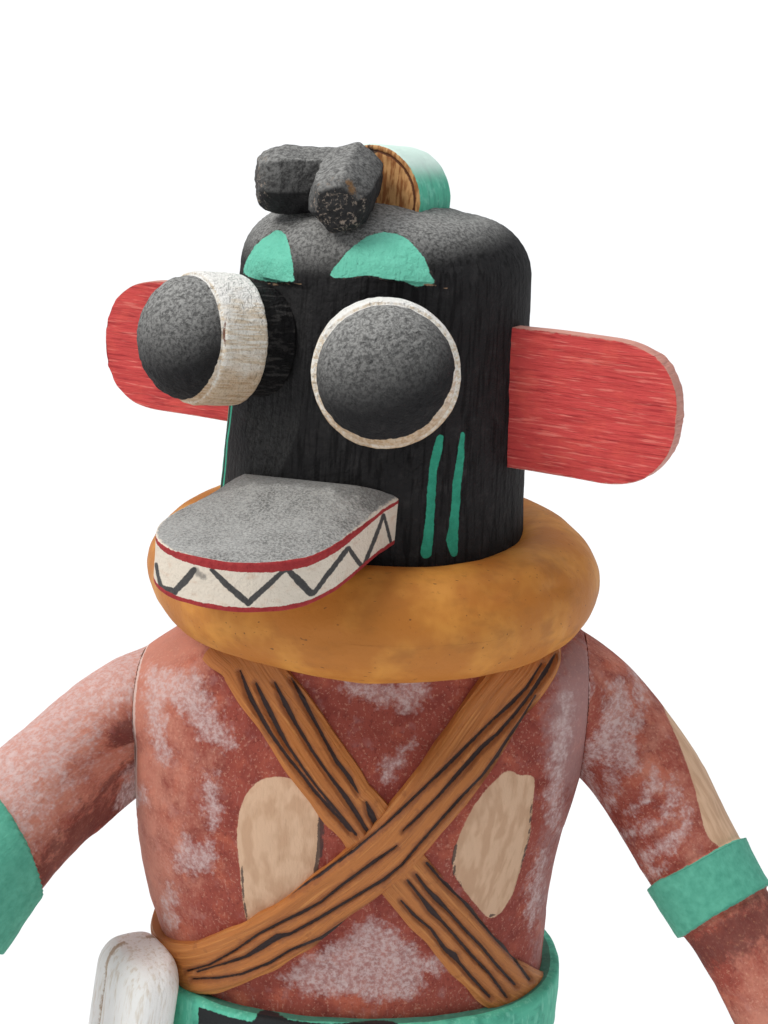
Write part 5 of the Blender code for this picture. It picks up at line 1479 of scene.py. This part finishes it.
def arm_marks(grid, outward, place, armband, side):
    """Rubbed patches, painted highlight, painted light, painted shade and bare patches, which differ
    from arm to arm.
    """
    up = outward[..., 2]
    if side < 0:
        rub = marks(grid, outward, outlines=RIGHT_ARM_RUBS)
        # Right arm: rubbed patches and a painted highlight where it faces up, and its upper side
        # lighter as painted light
        return {"rub": np.maximum(rub, up * 3.2 - 1.3), "pale": up * 3.4 + 0.2,
                # a dark band where the arm faces a little downwards, as painted shade
                "dusk": 1.9 - np.abs(up + 0.30) * 7.5, **bare(grid, "tan")}
    tan = marks(grid, outward, outlines=[ARM_TAN], least_facing=-0.25)
    return {"rub": marks(grid, outward, ARM_STROKES, ARM_RUBS),
            # Left arm: lighter paint towards the fist, and lighter as painted light where it faces up
            "pale": -1.5 + 2.2 * step(60.0, 72.0, place) + up * 1.5,
            # a dark band just below the armband, as painted shade
            "dusk": 2.2 - np.abs(place - armband[1] - 4.0) * 0.8,
            "tan": np.where(place > armband[0] + 1.0, OFF, tan)}


def make_arm(name, points, half_width, taper, armband, side):
    """Rows run from the fist's end up to the flat cut at the shoulder."""
    at, centre, across, deep = arm_axis(points, armband, side)
    half, depth = arm_half(at / at[-1], half_width, taper)
    turn = around(140)
    band = step(-0.1, 0.35, at[:, None] - armband_start(armband, side, turn)) * \
        step(armband[1] + 0.1, armband[1] - 0.35, at)[:, None]
    u, w = oval(turn, half + band, depth + band)
    grid = centre[:, None] + across[:, None] * u[..., None] + deep[:, None] * w[..., None]
    own = np.stack([u, w, at[:, None] + 0 * u], -1)
    grid, flat = cut_flat(grid, side, SHOULDER_FACE_X + ARM_GAP)
    grid, own, flat, turn = turned_out(grid[::-1], centre[::-1, None], own[::-1], flat[::-1],
                                       turn + 0 * u)
    outward, place = normals(grid), own[..., 2]
    share = place / at[-1]
    front = step(0.1, 0.6, np.cos(np.radians(turn)))
    fist = step(0.84, 0.87, share) * step(0.985, 0.95, share)
    fingers = np.abs(np.sin(PI * (share - 0.86) / FINGER_SHARE))
    rough = bumps(own, (0.36, 10.0, 111 + side), (0.14, 4.0, 112 + side), (0.05, 1.5, 113 + side))
    rough = rough - FINGER_DEPTH * fist * front * step(0.30, 0.0, fingers)
    away = np.maximum(side * grid[..., 0] - SHOULDER_FACE_X, 0.0)
    grid = raised(grid, outward, np.where(flat, 0.0, rough * step(0.0, 6.0, away)))
    edge = np.minimum(place - armband_start(armband, side, turn), armband[1] - place)
    shape = Shape().add(grid, own=own, band=edge, seam=np.where(side < 0, 0.3 - away, OFF),
                        **arm_marks(grid, outward, place, armband, side),
                        **bare(grid, "line", "haze"))
    row = np.argmin(np.abs(at / at[-1] - THUMB_SHARE))
    add_thumb(shape, centre[row], across[row], deep[row], side)
    shape.piece(name + "_carved", skin_material(name + "_paint", arm=True), name,
                slot="body_paint")


def add_thumb(shape, centre, across, deep, side):
    """The thumb, laid along the front of the fist."""
    place = centre - deep * 6.6 - across * side * 4.0
    lift = np.linspace(-PI / 2 + 0.02, PI / 2 - 0.02, 26)[:, None]
    turn = full_turn(36)
    ball = np.stack([np.cos(lift) * np.cos(turn), np.cos(lift) * np.sin(turn),
                     np.sin(lift) + 0 * turn], -1) * THUMB_HALVES
    grid = place + drawn_on(ball, (across, deep, np.cross(across, deep)))
    shape.add(*turned_out(grid, place))


SASH_TURN = -63.0
SASH_HALF = (9.5, 5.4)
SASH_LENGTH, SASH_ROUNDING, SASH_FRINGE = 56.0, 6.0, 46.0
SASH_GROOVE = -2.6
SASH_TOP = BELT_TOP + 7.2
# The base: how far out from its widest line, height
BASE_PROFILE = [(-14.0, 0.0), (-1.6, 0.0), (-0.5, 0.35), (0.0, 1.4), (0.0, 10.4), (-0.5, 11.6),
                (-1.6, BASE_HEIGHT), (-46.0, BASE_HEIGHT)]


def make_sash():
    """A thick sash with one broad fold, one narrow outer fold and a groove between them."""
    foot, beside = (np.array(oval(turn, *BELT_HALF, TORSO_SQUARENESS))
                    for turn in (SASH_TURN, SASH_TURN + 1.0))
    along = unit(beside - foot)
    out = np.array([along[1], -along[0]])
    down = np.concatenate([np.linspace(0.0, SASH_ROUNDING, 24)[:-1],
                           np.linspace(SASH_ROUNDING, SASH_LENGTH, 110)])[:, None]
    curve = np.sqrt(np.maximum(1 - (1 - down / SASH_ROUNDING) ** 2, 0))
    round_in = np.where(down < SASH_ROUNDING, 0.45 + 0.55 * curve, 1.0)
    x, y = oval(around(120), SASH_HALF[0] * round_in, SASH_HALF[1] * round_in, 3.0)
    groove = 1.3 * np.exp(-((x - SASH_GROOVE) / 0.8) ** 2) * (y < 0)
    y = y + groove * step(2.0, 7.0, down)
    push = SASH_HALF[1] * 0.7 + 9.0 * down / SASH_LENGTH
    ground = foot + out * (push - y)[..., None] + along * x[..., None]
    world = np.concatenate([ground, (SASH_TOP - down + 0 * x)[..., None]], -1)[::-1]
    own = np.stack([x, y, -down + 0 * x], -1)[::-1]
    world, own = turned_out(world, world.mean(1, keepdims=True), own)
    rough = bumps(own, (0.22, (4.0, 4.0, 14.0), 121), (0.06, (1.3, 1.3, 8.0), 122))
    aside = own[..., 0]
    # Brown lines along the groove and the outer edge
    worn = np.maximum(0.55 - np.abs(aside - SASH_GROOVE), 0.7 - np.abs(aside + 9.0))
    strands = np.maximum(worn, 0.35 - np.abs(np.mod(aside, 2.2) - 1.1))
    Shape().add(raised(world, normals(world), rough), own=own,
                worn=np.where(own[..., 2] < -SASH_FRINGE, strands, worn)).piece(
        "sash_carved", sash_material(), "rain_sash", slot="sash_white")


def make_base():
    """An oval plinth with rounded edges. Rows run from its underside up to its top."""
    out, height = evenly(BASE_PROFILE, 1.1).T
    grid = shell(np.stack([height, np.maximum(BASE_HALF[0] + out, 0.5),
                           np.maximum(BASE_HALF[1] + out * BASE_HALF[1] / BASE_HALF[0], 0.5)], -1),
                 200)
    above = step(0.2, 2.0, grid[..., 2])
    rough = bumps(grid, (0.3, 12.0, 131), (0.08, (9.0, 1.2, 1.2), 132)) * above
    on_top = grid[..., 2] > BASE_HEIGHT - 0.1
    rough = np.where(on_top, np.minimum(rough, 0.0), rough - 0.2 * above)
    Shape().add(raised(grid, normals(grid), rough)).piece(
        "base_plinth", wood_material(), "base", slot="base_wood")


# Stage, light and camera
FLOOR_HALF, FLOOR_FAR = 150.0, 400.0
FLOOR_COLOUR = (0.86, 0.865, 0.875, 1.0)
SKY_COLOUR, SKY_STRENGTH = (0.94, 0.97, 1.0, 1.0), 0.40


def make_stage():
    """A wide, plain, pale floor."""
    mesh = bpy.data.meshes.new("floor")
    mesh.from_pydata([(-FLOOR_HALF, -FLOOR_HALF, 0.0), (FLOOR_HALF, -FLOOR_HALF, 0.0),
                      (FLOOR_HALF, FLOOR_FAR, 0.0), (-FLOOR_HALF, FLOOR_FAR, 0.0)],
                     [], [(0, 1, 2, 3)])
    floor = bpy.data.objects.new("floor", mesh)
    bpy.context.scene.collection.objects.link(floor)
    material = bpy.data.materials.new("floor_paper")
    material.use_nodes = True
    shader = material.node_tree.nodes["Principled BSDF"]
    shader.inputs["Base Color"].default_value = FLOOR_COLOUR
    shader.inputs["Roughness"].default_value = 0.95
    shader.inputs["Specular IOR Level"].default_value = 0.1
    mesh.materials.append(material)


def make_sun(name, comes_from, strength, spread, colour):
    """Light from one side of the studio; a wide spread makes its shadows soft."""
    data = bpy.data.lights.new(name, "SUN")
    data.energy = strength
    data.angle = math.radians(spread)
    data.color = colour
    item = bpy.data.objects.new(name, data)
    bpy.context.scene.collection.objects.link(item)
    item.rotation_mode = "QUATERNION"
    item.rotation_quaternion = (-Vector(comes_from)).to_track_quat("-Z", "Y")


def make_world():
    world = bpy.data.worlds.new("studio")
    bpy.context.scene.world = world
    world.use_nodes = True
    background = world.node_tree.nodes["Background"]
    background.inputs["Color"].default_value = SKY_COLOUR
    background.inputs["Strength"].default_value = SKY_STRENGTH


def make_camera():
    data = bpy.data.cameras.new("camera")
    data.lens = CAMERA_FOCUS / FRAME_HEIGHT * SENSOR_WIDTH
    data.sensor_width = SENSOR_WIDTH
    data.sensor_fit = "AUTO"
    data.clip_start, data.clip_end = 0.01, 600.0
    item = bpy.data.objects.new("camera", data)
    bpy.context.scene.collection.objects.link(item)
    matrix = Matrix.Identity(4)
    for row in range(3):
        for col, axis in enumerate((RIGHT, UP, -AHEAD)):
            matrix[row][col] = axis[row]
        matrix[row][3] = CAMERA_PLACE[row] * MM
    item.matrix_world = matrix
    bpy.context.scene.camera = item


make_stage()
make_world()
make_sun("key_light", comes_from=(-0.62, -0.30, 0.74), strength=1.75, spread=24.0,
         colour=(1.0, 0.985, 0.95))
make_sun("overhead_light", comes_from=(-0.10, 0.25, 0.96), strength=1.5, spread=60.0,
         colour=(0.97, 0.985, 1.0))
make_camera()
make_base()
make_legs()
make_belt()
make_kilt()
make_torso()
make_straps()
make_arm("arm_right", RIGHT_ARM, half_width=10.9, taper=0.98, armband=RIGHT_ARMBAND, side=-1)
make_arm("arm_left", LEFT_ARM, half_width=10.0, taper=0.82, armband=LEFT_ARMBAND, side=1)
make_sash()
make_ruff()
make_head()
make_eye("eye_right", -1)
make_eye("eye_left", 1)
make_ear("ear_right", -1)
make_ear("ear_left", 1)
make_snout()
make_knobs()
make_roll()
bpy.context.scene.view_settings.view_transform = "Standard"
bpy.context.view_layer.update()
